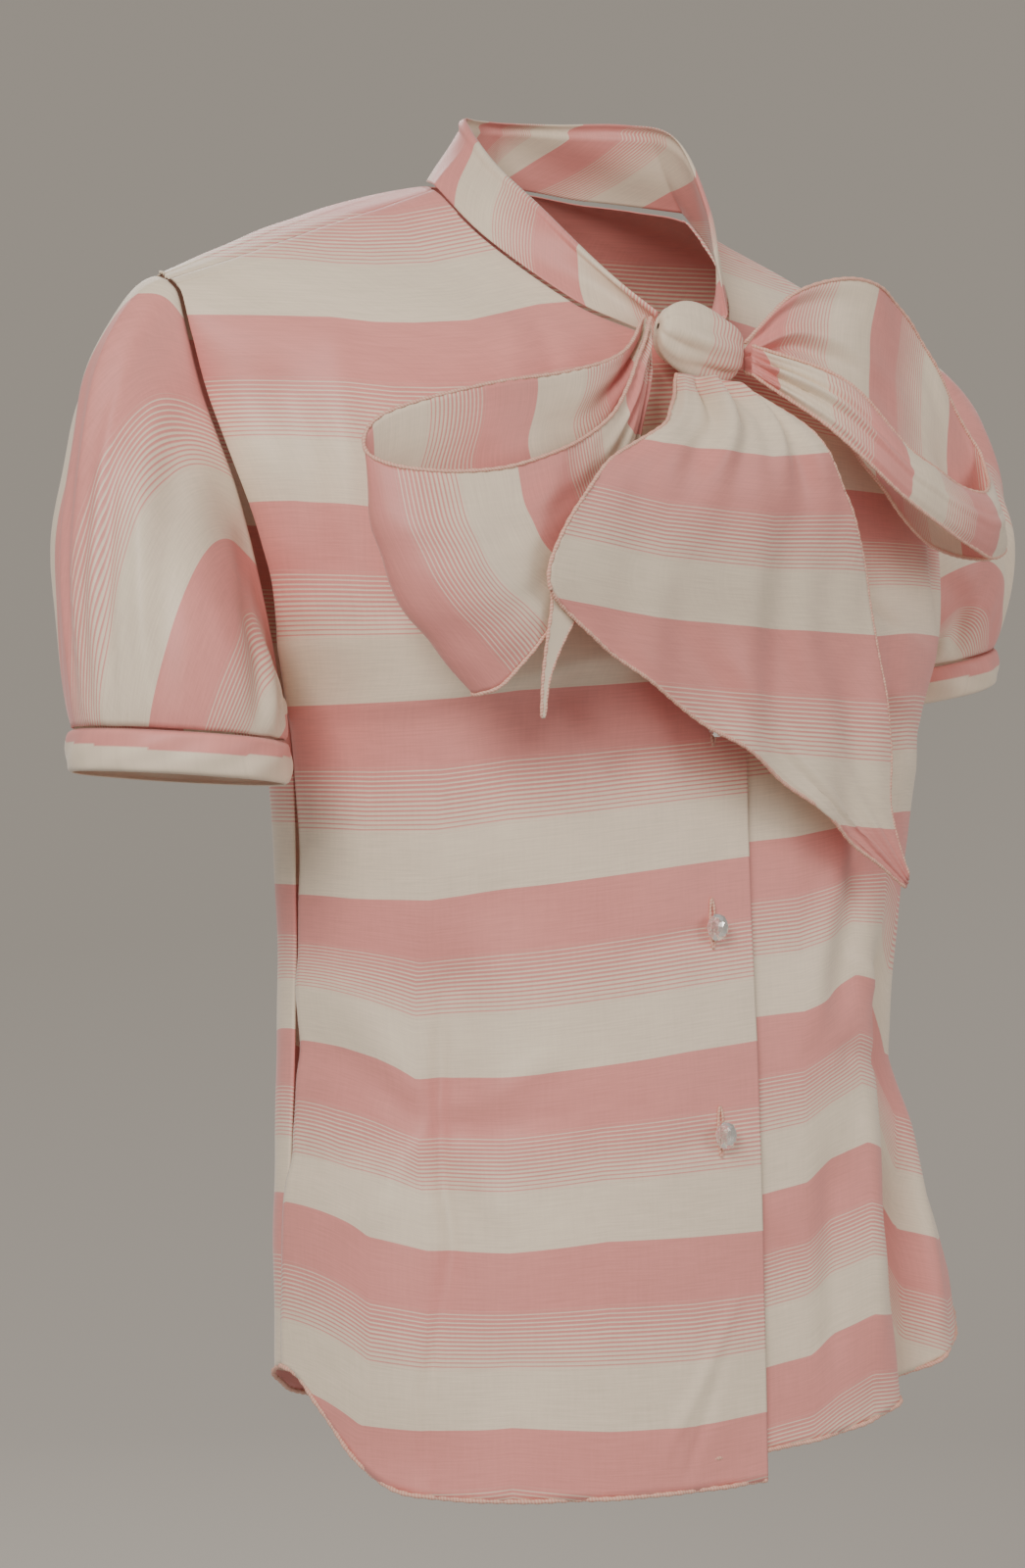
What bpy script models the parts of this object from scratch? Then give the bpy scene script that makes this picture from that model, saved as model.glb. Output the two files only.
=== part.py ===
"""Tie neck blouse with short puffed sleeves, in its worn hollow form.

Metres, +Z up. The front faces -Y and the wearer's right side is at -X.
The origin is the middle of the neck, level with the inner ends of the shoulder seams.
"""

from collections import namedtuple
from math import pi

import bmesh
import bpy
import numpy as np

CLOTH = 0.0012
TIE_CLOTH = 0.0010
CUFF_CLOTH = 0.0020
SEAM_GAP = 0.0004
WELD = 0.00001
LAP = 0.0165
LAP_STEP = CLOTH + 1.5 * SEAM_GAP
LAP_SPARE = 0.004
LAP_RETURN = 0.022
SHOULDER_GAP = 0.0007

PANEL_ACROSS = 15
PANEL_STEPS = 2.4
SLEEVE_AROUND = 40
SLEEVE_DOWN = 10
LOOP_STEPS = 27
TIE_ACROSS = 6
TAIL_STEPS = 14
TAIL_ACROSS = 10
TAIL_BACK_STEPS = 14
TAIL_BACK_ACROSS = 2

Row = namedtuple("Row", "name z_in z_out x_in x_out y_in y_out roundness rise lap")

FRONT = [
    Row("hem", -0.549, -0.502, 0, 0.152, -0.115, 0.014, 2.4, 40, LAP),
    Row("hip", -0.470, -0.452, 0, 0.151, -0.113, 0.014, 2.4, 6, LAP),
    Row("waist", -0.385, -0.380, 0, 0.147, -0.110, 0.013, 2.4, 2, LAP),
    Row("under bust", -0.310, -0.305, 0, 0.148, -0.105, 0.009, 2.5, 2, LAP),
    Row("bust", -0.240, -0.232, 0, 0.155, -0.102, 0.002, 2.6, 2, LAP),
    Row("chest", -0.185, -0.185, 0, 0.175, -0.100, -0.018, 2.3, 2, LAP),
    Row("upper chest", -0.130, -0.138, 0, 0.187, -0.094, -0.019, 2.0, 2, LAP),
    Row("throat", -0.078, -0.100, 0.004, 0.195, -0.083, -0.009, 1.7, 1.5, 0.004),
    Row("neckline", -0.055, -0.074, 0.042, 0.201, -0.060, -0.007, 1.5, 1.2, 0),
    Row("neck side", -0.026, -0.057, 0.064, 0.204, -0.026, -0.005, 1.2, 1.1, 0),
    Row("shoulder", 0.000, -0.050, 0.070, 0.205, 0.004, 0.002, 1.0, 1.0, 0),
]

FRONT_LEFT = [
    Row("hem", -0.537, -0.492, 0, 0.152, -0.115, 0.014, 2.4, 2.4, LAP),
    Row("hip", -0.465, -0.450, 0, 0.151, -0.113, 0.014, 2.4, 3, LAP),
] + FRONT[2:]

BACK = [
    Row("hem", -0.528, -0.502, 0, 0.152, 0.083, 0.014, 1.9, 6, 0),
    Row("hip", -0.460, -0.452, 0, 0.151, 0.086, 0.014, 1.95, 4, 0),
    Row("waist", -0.380, -0.380, 0, 0.147, 0.089, 0.013, 2.0, 2, 0),
    Row("under blades", -0.305, -0.305, 0, 0.148, 0.091, 0.009, 2.0, 2, 0),
    Row("underarm", -0.232, -0.232, 0, 0.155, 0.095, 0.002, 2.1, 2, 0),
    Row("blades", -0.180, -0.185, 0, 0.175, 0.099, 0.030, 2.3, 2, 0),
    Row("upper blades", -0.125, -0.138, 0, 0.187, 0.101, 0.042, 2.2, 2, 0),
    Row("yoke", -0.072, -0.100, 0, 0.195, 0.094, 0.041, 2.1, 1.6, 0),
    Row("upper back", -0.026, -0.072, 0, 0.201, 0.078, 0.032, 1.9, 1.4, 0),
    Row("nape", 0.010, -0.056, 0, 0.203, 0.060, 0.020, 1.6, 1.3, 0),
    Row("neck side", 0.008, -0.048, 0.044, 0.204, 0.042, 0.012, 1.3, 1.3, 0),
    Row("shoulder", 0.000, -0.050, 0.070, 0.205, 0.004, 0.002, 1.0, 1.0, 0),
]
UNDERARM_ROW = 4

Sway = namedtuple("Sway", "z shift left_flare")

SWAY = [
    Sway(-0.55, 0.014, 0.052),
    Sway(-0.48, 0.013, 0.036),
    Sway(-0.38, 0.011, 0.000),
    Sway(-0.25, 0.010, 0.010),
    Sway(-0.12, 0.004, 0.000),
    Sway(0.00, 0.000, 0.000),
]
SWAY_FULL_FROM = 0.09

Fold = namedtuple("Fold", "x_top z_top x_end z_end width depth")

FRONT_FOLDS = [
    Fold(-0.088, -0.180, -0.080, -0.215, 0.050, 0.008),
    Fold(0.088, -0.180, 0.080, -0.215, 0.050, 0.008),
    Fold(-0.113, -0.330, -0.113, -0.430, 0.013, -0.007),
    Fold(-0.113, -0.430, -0.118, -0.548, 0.010, -0.004),
    Fold(-0.135, -0.420, -0.135, -0.520, 0.018, 0.004),
    Fold(0.118, -0.330, 0.122, -0.450, 0.014, -0.010),
    Fold(0.122, -0.430, 0.134, -0.560, 0.016, -0.020),
    Fold(-0.172, -0.090, -0.166, -0.180, 0.010, -0.004),
    Fold(0.172, -0.090, 0.166, -0.180, 0.010, -0.004),
]

BACK_FOLDS = [
    Fold(-0.085, -0.280, -0.085, -0.430, 0.013, -0.006),
    Fold(0.085, -0.280, 0.085, -0.430, 0.013, -0.006),
    Fold(-0.060, -0.430, -0.066, -0.540, 0.028, 0.004),
    Fold(0.050, -0.420, 0.058, -0.540, 0.030, 0.005),
    Fold(-0.120, -0.100, -0.105, -0.220, 0.020, -0.003),
    Fold(0.120, -0.100, 0.105, -0.220, 0.020, -0.003),
]

Sleeve = namedtuple("Sleeve", "side x y z half_width half_depth cap_out puff swell tilt")

SLEEVES = {
    "right": Sleeve(-1, -0.209, -0.014, -0.234, 0.043, 0.046, 0.038, 0.013, 0.082, 0.006),
    "left": Sleeve(1, 0.234, 0.030, -0.188, 0.041, 0.043, 0.068, 0.017, 0.060, 0.017),
}
SLEEVE_FOLDS = 9
SLEEVE_FOLD_DEPTH = 0.0022
CUFF_HEIGHT = 0.017
COLLAR_LIFT = 0.05

Top = namedtuple("Top", "name x y z")

COLLAR_TOP = [
    Top("right throat", -0.0200, -0.0887, -0.0592),
    Top("right front", -0.034, -0.061, -0.034),
    Top("right neck", -0.043, -0.036, -0.010),
    Top("right side", -0.048, -0.010, 0.012),
    Top("right side back", -0.042, 0.017, 0.033),
    Top("right back", -0.019, 0.039, 0.039),
    Top("nape", 0.000, 0.044, 0.041),
    Top("left back", 0.024, 0.037, 0.042),
    Top("left side back", 0.046, 0.016, 0.041),
    Top("left side", 0.053, -0.010, 0.032),
    Top("left neck", 0.049, -0.037, -0.001),
    Top("left front", 0.034, -0.062, -0.030),
    Top("left throat", 0.0180, -0.0875, -0.0564),
]
THROAT_ROW = 7
NAPE_ROW = 9

Edge = namedtuple("Edge", "name x y z low_x low_y low_z bulge")

LOOP_RIGHT = [
    Edge("root behind", -0.0315, -0.0945, -0.062, -0.0315, -0.0945, -0.076, 0.000),
    Edge("behind near knot", -0.052, -0.105, -0.080, -0.050, -0.108, -0.118, 0.003),
    Edge("behind", -0.082, -0.109, -0.090, -0.072, -0.116, -0.165, 0.002),
    Edge("behind far", -0.128, -0.109, -0.099, -0.112, -0.118, -0.200, 0.002),
    Edge("turn behind", -0.168, -0.100, -0.112, -0.134, -0.115, -0.219, 0.010),
    Edge("turn", -0.178, -0.102, -0.127, -0.136, -0.123, -0.221, 0.014),
    Edge("front far", -0.162, -0.118, -0.135, -0.127, -0.129, -0.215, 0.009),
    Edge("front", -0.122, -0.129, -0.131, -0.102, -0.132, -0.186, 0.003),
    Edge("front near knot", -0.070, -0.121, -0.108, -0.063, -0.122, -0.142, 0.001),
    Edge("root front", -0.0315, -0.0985, -0.063, -0.0315, -0.0985, -0.077, 0.000),
]

LOOP_LEFT = [
    Edge("root behind", 0.0228, -0.0935, -0.070, 0.0228, -0.0935, -0.082, 0.000),
    Edge("behind near knot", 0.050, -0.098, -0.046, 0.048, -0.105, -0.092, 0.003),
    Edge("behind", 0.090, -0.097, -0.038, 0.082, -0.108, -0.122, 0.003),
    Edge("behind far", 0.130, -0.082, -0.052, 0.122, -0.100, -0.150, 0.003),
    Edge("turn behind", 0.166, -0.074, -0.088, 0.170, -0.086, -0.156, 0.003),
    Edge("turn", 0.180, -0.078, -0.112, 0.188, -0.082, -0.150, 0.003),
    Edge("front far", 0.150, -0.106, -0.128, 0.152, -0.108, -0.156, 0.005),
    Edge("front", 0.094, -0.124, -0.115, 0.088, -0.127, -0.136, 0.003),
    Edge("front near knot", 0.055, -0.122, -0.086, 0.046, -0.125, -0.108, 0.002),
    Edge("root front", 0.0228, -0.0985, -0.071, 0.0228, -0.0985, -0.083, 0.000),
]

TAIL_FRONT = [
    Edge("root", -0.0200, -0.1010, -0.0862, 0.0130, -0.1010, -0.0882, 0.000),
    Edge("gathered", -0.050, -0.131, -0.110, 0.028, -0.130, -0.110, 0.003),
    Edge("shoulder", -0.092, -0.143, -0.132, 0.048, -0.130, -0.136, 0.005),
    Edge("corner", -0.117, -0.141, -0.172, 0.066, -0.123, -0.164, 0.005),
    Edge("below corner", -0.101, -0.137, -0.192, 0.077, -0.117, -0.196, 0.004),
    Edge("middle", -0.051, -0.132, -0.221, 0.087, -0.114, -0.236, 0.003),
    Edge("low", 0.008, -0.127, -0.250, 0.090, -0.112, -0.268, 0.001),
    Edge("tip", 0.100, -0.111, -0.302, 0.102, -0.111, -0.297, 0.000),
]

TAIL_BACK = [
    Edge("root", -0.016, -0.0980, -0.0890, 0.002, -0.0980, -0.0896, 0.000),
    Edge("gathered", -0.048, -0.1265, -0.112, -0.026, -0.1255, -0.112, 0.000),
    Edge("behind", -0.086, -0.1375, -0.140, -0.060, -0.1355, -0.142, 0.000),
    Edge("corner", -0.110, -0.1370, -0.170, -0.084, -0.1345, -0.172, 0.000),
    Edge("below corner", -0.1125, -0.1355, -0.190, -0.1010, -0.1340, -0.194, 0.000),
    Edge("thread", -0.1135, -0.1320, -0.213, -0.1100, -0.1320, -0.214, 0.000),
    Edge("end", -0.1130, -0.1300, -0.231, -0.1115, -0.1300, -0.231, 0.000),
]

KNOT_CENTRE = (-0.004, -0.0960, -0.0720)
KNOT_HALF = (0.0330, 0.0115, 0.0190)
KNOT_TILT = 0.25

BUTTON_RADIUS = 0.0058
BUTTON_DEPTH = 0.0060
BUTTON_SHANK = 0.0016
BUTTON_X = -0.003
BUTTON_Z = (-0.144, -0.232, -0.316, -0.403)

PINK = (0.64, 0.27, 0.23)
CREAM = (0.80, 0.68, 0.53)
ROSE = (0.70, 0.38, 0.32)
CRYSTAL = (0.86, 0.84, 0.82)


def along(rows, places):
    """Every column of a table at places counted in rows, on smooth curves through the rows."""
    table = np.array([row[1:] if isinstance(row[0], str) else row for row in rows], float)
    names = [name for name in rows[0]._fields if name != "name"]
    slopes = np.gradient(table, axis=0)
    first = np.clip(np.floor(places).astype(int), 0, len(table) - 2)
    t = (places - first)[:, None]
    values = (
        (2 * t**3 - 3 * t**2 + 1) * table[first]
        + (t**3 - 2 * t**2 + t) * slopes[first]
        + (3 * t**2 - 2 * t**3) * table[first + 1]
        + (t**3 - t**2) * slopes[first + 1]
    )
    return dict(zip(names, values.T[:, :, None]))


def swayed(grid):
    """The grid moved sideways, as the blouse hangs a little to the wearer's left below the bust.

    The move fades towards the centre line, where the buttons hold the fronts.
    """
    table = np.array(SWAY)
    shift = np.interp(grid[..., 2], table[:, 0], table[:, 1])
    flare = np.interp(grid[..., 2], table[:, 0], table[:, 2])
    outward = np.clip(grid[..., 0] / FRONT[0].x_out, 0, 1) ** 2
    held = np.clip(np.abs(grid[..., 0]) / SWAY_FULL_FROM, 0, 1)
    move = shift * held * held * (3 - 2 * held) + flare * outward
    return grid + np.stack([move, 0 * move, 0 * move], axis=-1)


def normals(grid):
    """Unit normals of a grid of points, from the cross product of its two directions."""
    cross = np.cross(np.gradient(grid, axis=1), np.gradient(grid, axis=0))
    return cross / np.maximum(np.linalg.norm(cross, axis=-1, keepdims=True), 1e-12)


def folded(grid, folds, outward):
    """The grid with soft ridges and troughs along lines given in its x and z."""
    depth = np.zeros(grid.shape[:2])
    for fold in folds:
        start = np.array([fold.x_top, fold.z_top])
        line = np.array([fold.x_end, fold.z_end]) - start
        offset = grid[..., [0, 2]] - start
        share = offset @ line / (line @ line)
        beyond = np.clip(np.abs(share - 0.5) - 0.35, 0, None) / 0.35
        across = np.abs(offset[..., 0] * line[1] - offset[..., 1] * line[0]) / np.linalg.norm(line)
        depth += fold.depth * np.exp(-((across / fold.width) ** 2) - (beyond**2) * 3)
    return grid + outward * normals(grid) * depth[..., None]


def half_panel(rows, side, places, across, seam_shift):
    """Half of the body's front or back, from the centre line to the side seam and the armhole.

    Below the armhole the front and the back read the same side seam.

    Each row is a superellipse in plan: y falls from y_in to y_out as (1 - w^n)^(1/n),
    where w is the share of the way out and n is the row's roundness.
    """
    r = along(rows, places)
    r["x_in"] = np.maximum(r["x_in"], 0)
    side_seam = along(rows[: UNDERARM_ROW + 1], np.minimum(places, UNDERARM_ROW))
    for column in ("x_out", "y_out", "z_out"):
        r[column] = np.where(places[:, None] > UNDERARM_ROW, r[column], side_seam[column])
    width = r["x_out"] - r["x_in"]
    start = -np.arcsin(np.clip(r["lap"] / width, 0, 1))
    angle = start + (pi / 2 - start) * across[None, :]
    w = np.clip(np.sin(angle), -1, 1)
    n = r["roundness"]
    y_out = r["y_out"] + seam_shift
    fall = (1 - np.abs(w) ** n) ** (1 / n)
    x = side * (r["x_in"] + width * w)
    y = y_out + (r["y_in"] - y_out) * fall
    z = r["z_in"] + (r["z_out"] - r["z_in"]) * np.abs(w) ** r["rise"]
    return np.stack([x + 0 * z, y, z], axis=-1)


def panel_places(rows):
    return np.linspace(0, len(rows) - 1, int(PANEL_STEPS * (len(rows) - 1)) + 1)


def front_grid(side, places, across):
    """A front: the right one lies over the left one, which steps in under it at the centre."""
    rows = FRONT_LEFT if side > 0 else FRONT
    grid = half_panel(rows, side, places, across, -SEAM_GAP)
    grid[..., 1] -= SHOULDER_GAP * (places[:, None] > len(rows) - 1.5)
    under = np.clip((LAP + LAP_SPARE + LAP_RETURN - grid[..., 0]) / LAP_RETURN, 0, 1)
    grid = folded(swayed(grid), FRONT_FOLDS, side)
    if side > 0:
        grid[..., 1] += LAP_STEP * under * under * (3 - 2 * under)
    return grid


def back_grid(places, across):
    """The back's two halves, each with its own column of points at the centre line."""
    left = half_panel(BACK, 1, places, across, SEAM_GAP)
    left[..., 1] += SHOULDER_GAP * (places[:, None] > len(BACK) - 1.5)
    right = left[:, ::-1] * [-1, 1, 1]
    halves = [folded(swayed(half), BACK_FOLDS, -1) for half in (right, left)]
    meet = (halves[0][:, -1] + halves[1][:, 0]) / 2
    joined = left[:, 0, 0] < WELD
    halves[0][joined, -1] = meet[joined]
    halves[1][joined, 0] = meet[joined]
    return halves


def evenly(line, count):
    """This many points on a line of points, at equal steps of its length."""
    steps = np.linalg.norm(np.diff(line, axis=0), axis=1)
    length = np.concatenate([[0], np.cumsum(steps)])
    at = np.linspace(0, length[-1], count)
    return np.stack([np.interp(at, length, line[:, k]) for k in range(3)], axis=-1)


def armhole(side, count):
    """The armhole's seam line as a ring: from the shoulder down the front and up the back."""
    outer_end = np.array([1.0])
    down = np.linspace(len(FRONT) - 1, UNDERARM_ROW, 60)
    up = np.linspace(UNDERARM_ROW, len(BACK) - 1, 60)
    front = half_panel(FRONT, side, down, outer_end, 0)[:, 0]
    back = half_panel(BACK, side, up, outer_end, 0)[:, 0]
    return evenly(swayed(np.concatenate([front, back[1:]])[None])[0], count + 1)[:-1]


def neckline(count):
    """The neck seam: from the throat over the right shoulder, the nape and the left shoulder."""
    inner_end = np.array([0.0])
    up = np.linspace(THROAT_ROW, len(FRONT) - 1, 40)
    down = np.linspace(len(BACK) - 1, NAPE_ROW, 40)
    front = half_panel(FRONT, -1, up, inner_end, 0)[:, 0]
    back = half_panel(BACK, -1, down, inner_end, 0)[:, 0]
    right = np.concatenate([front, back[1:]])
    left = right[-2::-1] * [-1, 1, 1]
    return evenly(swayed(np.concatenate([right, left])[None])[0], count)


def sleeve_ends(sleeve, turn):
    """The ring where the sleeve meets its cuff, lower on its inner side."""
    inner = (1 - np.cos(turn)) / 2
    x = sleeve.x + sleeve.side * sleeve.half_width * np.cos(turn)
    y = sleeve.y - sleeve.half_depth * np.sin(turn)
    z = sleeve.z - sleeve.tilt * inner
    return np.stack([x, y, z], axis=-1)


def sleeve_grid(sleeve, around, down):
    """A puffed sleeve: at each turn a cubic Bezier curve from the armhole to the cuff.

    Its first handle leads out of the armhole, and its second comes down on the cuff from
    outside and above, which lets the puff hang over the cuff.
    """
    turn = np.arange(around) * 2 * pi / around
    start = armhole(sleeve.side, around)
    end = sleeve_ends(sleeve, turn)
    outer = (1 + np.cos(turn)) / 2
    leading = np.stack(
        [sleeve.side * (0.8 + 0.2 * outer), -0.15 * np.sin(turn), -0.35 + 0.1 * outer], axis=-1
    )
    radial = np.stack([sleeve.side * np.cos(turn), -np.sin(turn), 0 * turn], axis=-1)
    handle_a = start + leading * sleeve.cap_out * (0.25 + 0.75 * outer[:, None])
    lift = sleeve.swell * (0.12 + 0.88 * outer)
    puff = sleeve.puff * (0.1 + 0.9 * outer[:, None])
    handle_b = end + radial * puff + np.stack([0 * turn, 0 * turn, lift], axis=-1)
    start = start + leading * 2.8 * SEAM_GAP
    t = np.linspace(0, 1, down + 1)[:, None, None]
    grid = (1 - t) ** 3 * start + 3 * t * (1 - t) ** 2 * handle_a
    grid = grid + 3 * t**2 * (1 - t) * handle_b + t**3 * end
    ripple = SLEEVE_FOLD_DEPTH * np.cos(SLEEVE_FOLDS * turn) * np.sin(pi * t[:, :, 0]) * t[:, :, 0]
    return grid + radial * ripple[..., None]


def cuff_grid(sleeve, around):
    """The turned-up band, which hangs from the sleeve's end."""
    turn = np.arange(around) * 2 * pi / around
    top = sleeve_ends(sleeve, turn)
    radial = np.stack([sleeve.side * np.cos(turn), -np.sin(turn), 0 * turn], axis=-1)
    down = np.linspace(0, 1, 3)[:, None, None]
    drop = np.array([0.0, 0.0, -1.0]) * (SEAM_GAP * 2 + CUFF_HEIGHT * down)
    return top + drop + radial * 0.0006


def smooth_strip(rows, steps, across, side):
    """A strip between two edges, with its middle bulged to one side along its normal."""
    places = np.linspace(0, len(rows) - 1, steps + 1)
    r = along(rows, places)
    high = np.concatenate([r["x"], r["y"], r["z"]], axis=1)[:, None]
    low = np.concatenate([r["low_x"], r["low_y"], r["low_z"]], axis=1)[:, None]
    w = np.linspace(0, 1, across + 1)[None, :, None]
    grid = high + (low - high) * w
    return grid + side * normals(grid) * np.sin(pi * w) * r["bulge"][:, :, None]


def collar_grid():
    """The stand: its lower edge on the neck seam and its upper edge closer to the neck."""
    count = 2 * len(COLLAR_TOP) - 1
    edge = along(COLLAR_TOP, np.linspace(0, len(COLLAR_TOP) - 1, count))
    top = np.concatenate([edge["x"], edge["y"], edge["z"]], axis=1)
    low = neckline(count)
    w = np.linspace(COLLAR_LIFT, 1, 4)[:, None, None]
    return low + (top - low) * w


def material(name, colour, roughness):
    made = bpy.data.materials.new(name)
    made.use_nodes = True
    shader = made.node_tree.nodes["Principled BSDF"]
    shader.inputs["Base Color"].default_value = (*colour, 1)
    shader.inputs["Roughness"].default_value = roughness
    shader.inputs["Metallic"].default_value = 0
    return made


def quads_of(grid, flip, ring, first):
    """The four-cornered faces of a grid whose points are numbered from first."""
    rows, columns = grid.shape[:2]
    index = first + np.arange(rows * columns).reshape(rows, columns)
    after = np.roll(index, -1, axis=1)
    last = columns if ring else columns - 1
    quads = np.stack([index[:-1], after[:-1], after[1:], index[1:]], axis=-1)[:, :last]
    return quads[..., ::-1].reshape(-1, 4) if flip else quads.reshape(-1, 4)


def cloth(name, grids, finish, thickness, flip, ring=False):
    """Sheets over grids of points, welded where they meet, with a wall on their inner side."""
    mesh = bpy.data.meshes.new(name)
    firsts = np.cumsum([0] + [grid.shape[0] * grid.shape[1] for grid in grids])
    quads = [quads_of(grid, flip, ring, first) for grid, first in zip(grids, firsts)]
    points = np.concatenate([grid.reshape(-1, 3) for grid in grids])
    mesh.from_pydata(points.tolist(), [], np.concatenate(quads).tolist())
    sewn = bmesh.new()
    sewn.from_mesh(mesh)
    bmesh.ops.remove_doubles(sewn, verts=sewn.verts, dist=WELD)
    sewn.to_mesh(mesh)
    sewn.free()
    mesh.shade_smooth()
    obj = bpy.data.objects.new(name, mesh)
    wall = obj.modifiers.new("wall", "SOLIDIFY")
    wall.thickness = thickness
    wall.offset = -1
    obj.data.materials.append(finish)
    parts.objects.link(obj)
    return obj


def knot(finish):
    """The knot: a rounded block, turned as the tie wraps it from upper left to lower right."""
    mesh = bpy.data.meshes.new("bow_knot")
    body = bmesh.new()
    bmesh.ops.create_cube(body, size=2)
    bmesh.ops.scale(body, vec=KNOT_HALF, verts=body.verts)
    body.to_mesh(mesh)
    body.free()
    obj = bpy.data.objects.new("bow_knot", mesh)
    obj.location = KNOT_CENTRE
    obj.rotation_euler = (0, KNOT_TILT, 0)
    soft = obj.modifiers.new("soft", "SUBSURF")
    soft.levels = 2
    soft.render_levels = 2
    mesh.shade_smooth()
    mesh.materials.append(finish)
    parts.objects.link(obj)


def button(name, z, finish):
    """A faceted shank button on the right front, its axis along the cloth's normal."""
    places = np.linspace(0, len(FRONT) - 1, 400)
    line = front_grid(-1, places, np.linspace(0, 1, 60))
    near = np.abs(line[..., 0] - BUTTON_X) + np.abs(line[..., 2] - z)
    seat = line[np.unravel_index(near.argmin(), near.shape)]
    profile = [
        (0.0, 0.0),
        (0.30, 0.0),
        (0.34, BUTTON_SHANK / BUTTON_RADIUS),
        (0.98, 0.42),
        (1.0, 0.55),
        (0.62, 0.92),
        (0.0, 1.0),
    ]
    mesh = bpy.data.meshes.new(name)
    points = [(r * BUTTON_RADIUS, 0, h * BUTTON_DEPTH) for r, h in profile[::-1]]
    edges = [(i, i + 1) for i in range(len(points) - 1)]
    mesh.from_pydata(points, edges, [])
    obj = bpy.data.objects.new(name, mesh)
    turned = obj.modifiers.new("turned", "SCREW")
    turned.steps = 12
    turned.render_steps = 12
    turned.use_merge_vertices = True
    turned.merge_threshold = 0.00001
    turned.use_smooth_shade = False
    obj.location = (seat[0], seat[1] - 1.5 * SEAM_GAP, seat[2])
    obj.rotation_euler = (pi / 2, 0, 0)
    mesh.materials.append(finish)
    parts.objects.link(obj)


for old in list(bpy.data.objects):
    bpy.data.objects.remove(old)
parts = bpy.data.collections.new("tie_neck_blouse")
bpy.context.scene.collection.children.link(parts)

striped = material("striped cotton", PINK, 0.55)
pale = material("pale stripe", CREAM, 0.55)
sheer = material("thin tie cloth", ROSE, 0.5)
crystal = material("clear crystal", CRYSTAL, 0.05)

across = np.linspace(0, 1, PANEL_ACROSS)
cloth("front_right", [front_grid(-1, panel_places(FRONT), across)], striped, CLOTH, True)
cloth("front_left", [front_grid(1, panel_places(FRONT), across)], striped, CLOTH, False)
cloth("back", back_grid(panel_places(BACK), across), striped, CLOTH, True)
for name, sleeve in SLEEVES.items():
    puff = sleeve_grid(sleeve, SLEEVE_AROUND, SLEEVE_DOWN)
    cloth("sleeve_" + name, [puff], striped, CLOTH, sleeve.side < 0, ring=True)
    band = cuff_grid(sleeve, SLEEVE_AROUND)
    cloth("cuff_" + name, [band], pale, CUFF_CLOTH, sleeve.side < 0, ring=True)
cloth("collar", [collar_grid()], pale, CLOTH, False)
for name, rows, side in (("right", LOOP_RIGHT, 1), ("left", LOOP_LEFT, -1)):
    loop = smooth_strip(rows, LOOP_STEPS, TIE_ACROSS, side)
    cloth("bow_loop_" + name, [loop], sheer, TIE_CLOTH, False)
cloth("bow_tail_front", [smooth_strip(TAIL_FRONT, TAIL_STEPS, TAIL_ACROSS, -1)], sheer, TIE_CLOTH, False)
cloth("bow_tail_back", [smooth_strip(TAIL_BACK, TAIL_BACK_STEPS, TAIL_BACK_ACROSS, -1)], sheer, TIE_CLOTH, False)
knot(pale)
for number, z in enumerate(BUTTON_Z, 1):
    button(f"button_{number}", z, crystal)
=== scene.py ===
# %% [markdown]
# # A tie neck blouse in striped cotton
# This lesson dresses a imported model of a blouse. Its thin rigid walls are in place already,
# and each step below lays a finer sheet of cloth on one of them, with its folds, its stripes,
# its seams and its rolled edges. The front faces -Y and the wearer's right side is at -X.

# %% Load the frame
from collections import namedtuple
from math import pi

import bmesh
import bpy
import numpy as np
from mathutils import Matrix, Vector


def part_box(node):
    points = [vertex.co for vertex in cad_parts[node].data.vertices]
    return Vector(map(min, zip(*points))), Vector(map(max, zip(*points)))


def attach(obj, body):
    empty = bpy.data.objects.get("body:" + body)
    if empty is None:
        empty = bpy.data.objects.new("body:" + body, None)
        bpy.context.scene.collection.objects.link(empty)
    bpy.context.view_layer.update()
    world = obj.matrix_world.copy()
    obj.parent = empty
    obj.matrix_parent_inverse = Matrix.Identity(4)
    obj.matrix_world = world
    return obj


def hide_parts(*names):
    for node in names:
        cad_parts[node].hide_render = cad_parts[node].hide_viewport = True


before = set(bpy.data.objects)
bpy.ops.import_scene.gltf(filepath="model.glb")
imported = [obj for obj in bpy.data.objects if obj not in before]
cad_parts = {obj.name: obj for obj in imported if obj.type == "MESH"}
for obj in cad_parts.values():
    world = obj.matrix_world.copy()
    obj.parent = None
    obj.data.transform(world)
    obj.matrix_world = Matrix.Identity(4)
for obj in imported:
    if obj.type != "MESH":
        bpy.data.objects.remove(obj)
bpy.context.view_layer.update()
print("solids in the frame:", len(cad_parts))

# %% [markdown]
# ## Camera and studio
# The picture was taken level, from the wearer's front right, with a long lens. A round pale
# floor that curves up into a wall gives the same plain ground from every side. Its wall lets
# the even light of the surroundings through, and two soft panels of light model the folds.

# %% Camera
AIM = np.array([-0.01905, 0.01429, -0.257])
DISTANCE = 1.6
camera_data = bpy.data.cameras.new("camera")
camera_data.lens = 83.16
camera_data.sensor_width = 36
camera_data.sensor_fit = "AUTO"
camera = bpy.data.objects.new("camera", camera_data)
camera.location = AIM + DISTANCE * np.array([-0.6, -0.8, 0])
camera.rotation_euler = (pi / 2, 0, -np.arctan2(0.6, 0.8))
bpy.context.scene.collection.objects.link(camera)
bpy.context.scene.camera = camera
print("camera at", np.round(camera.location, 3))

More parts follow.
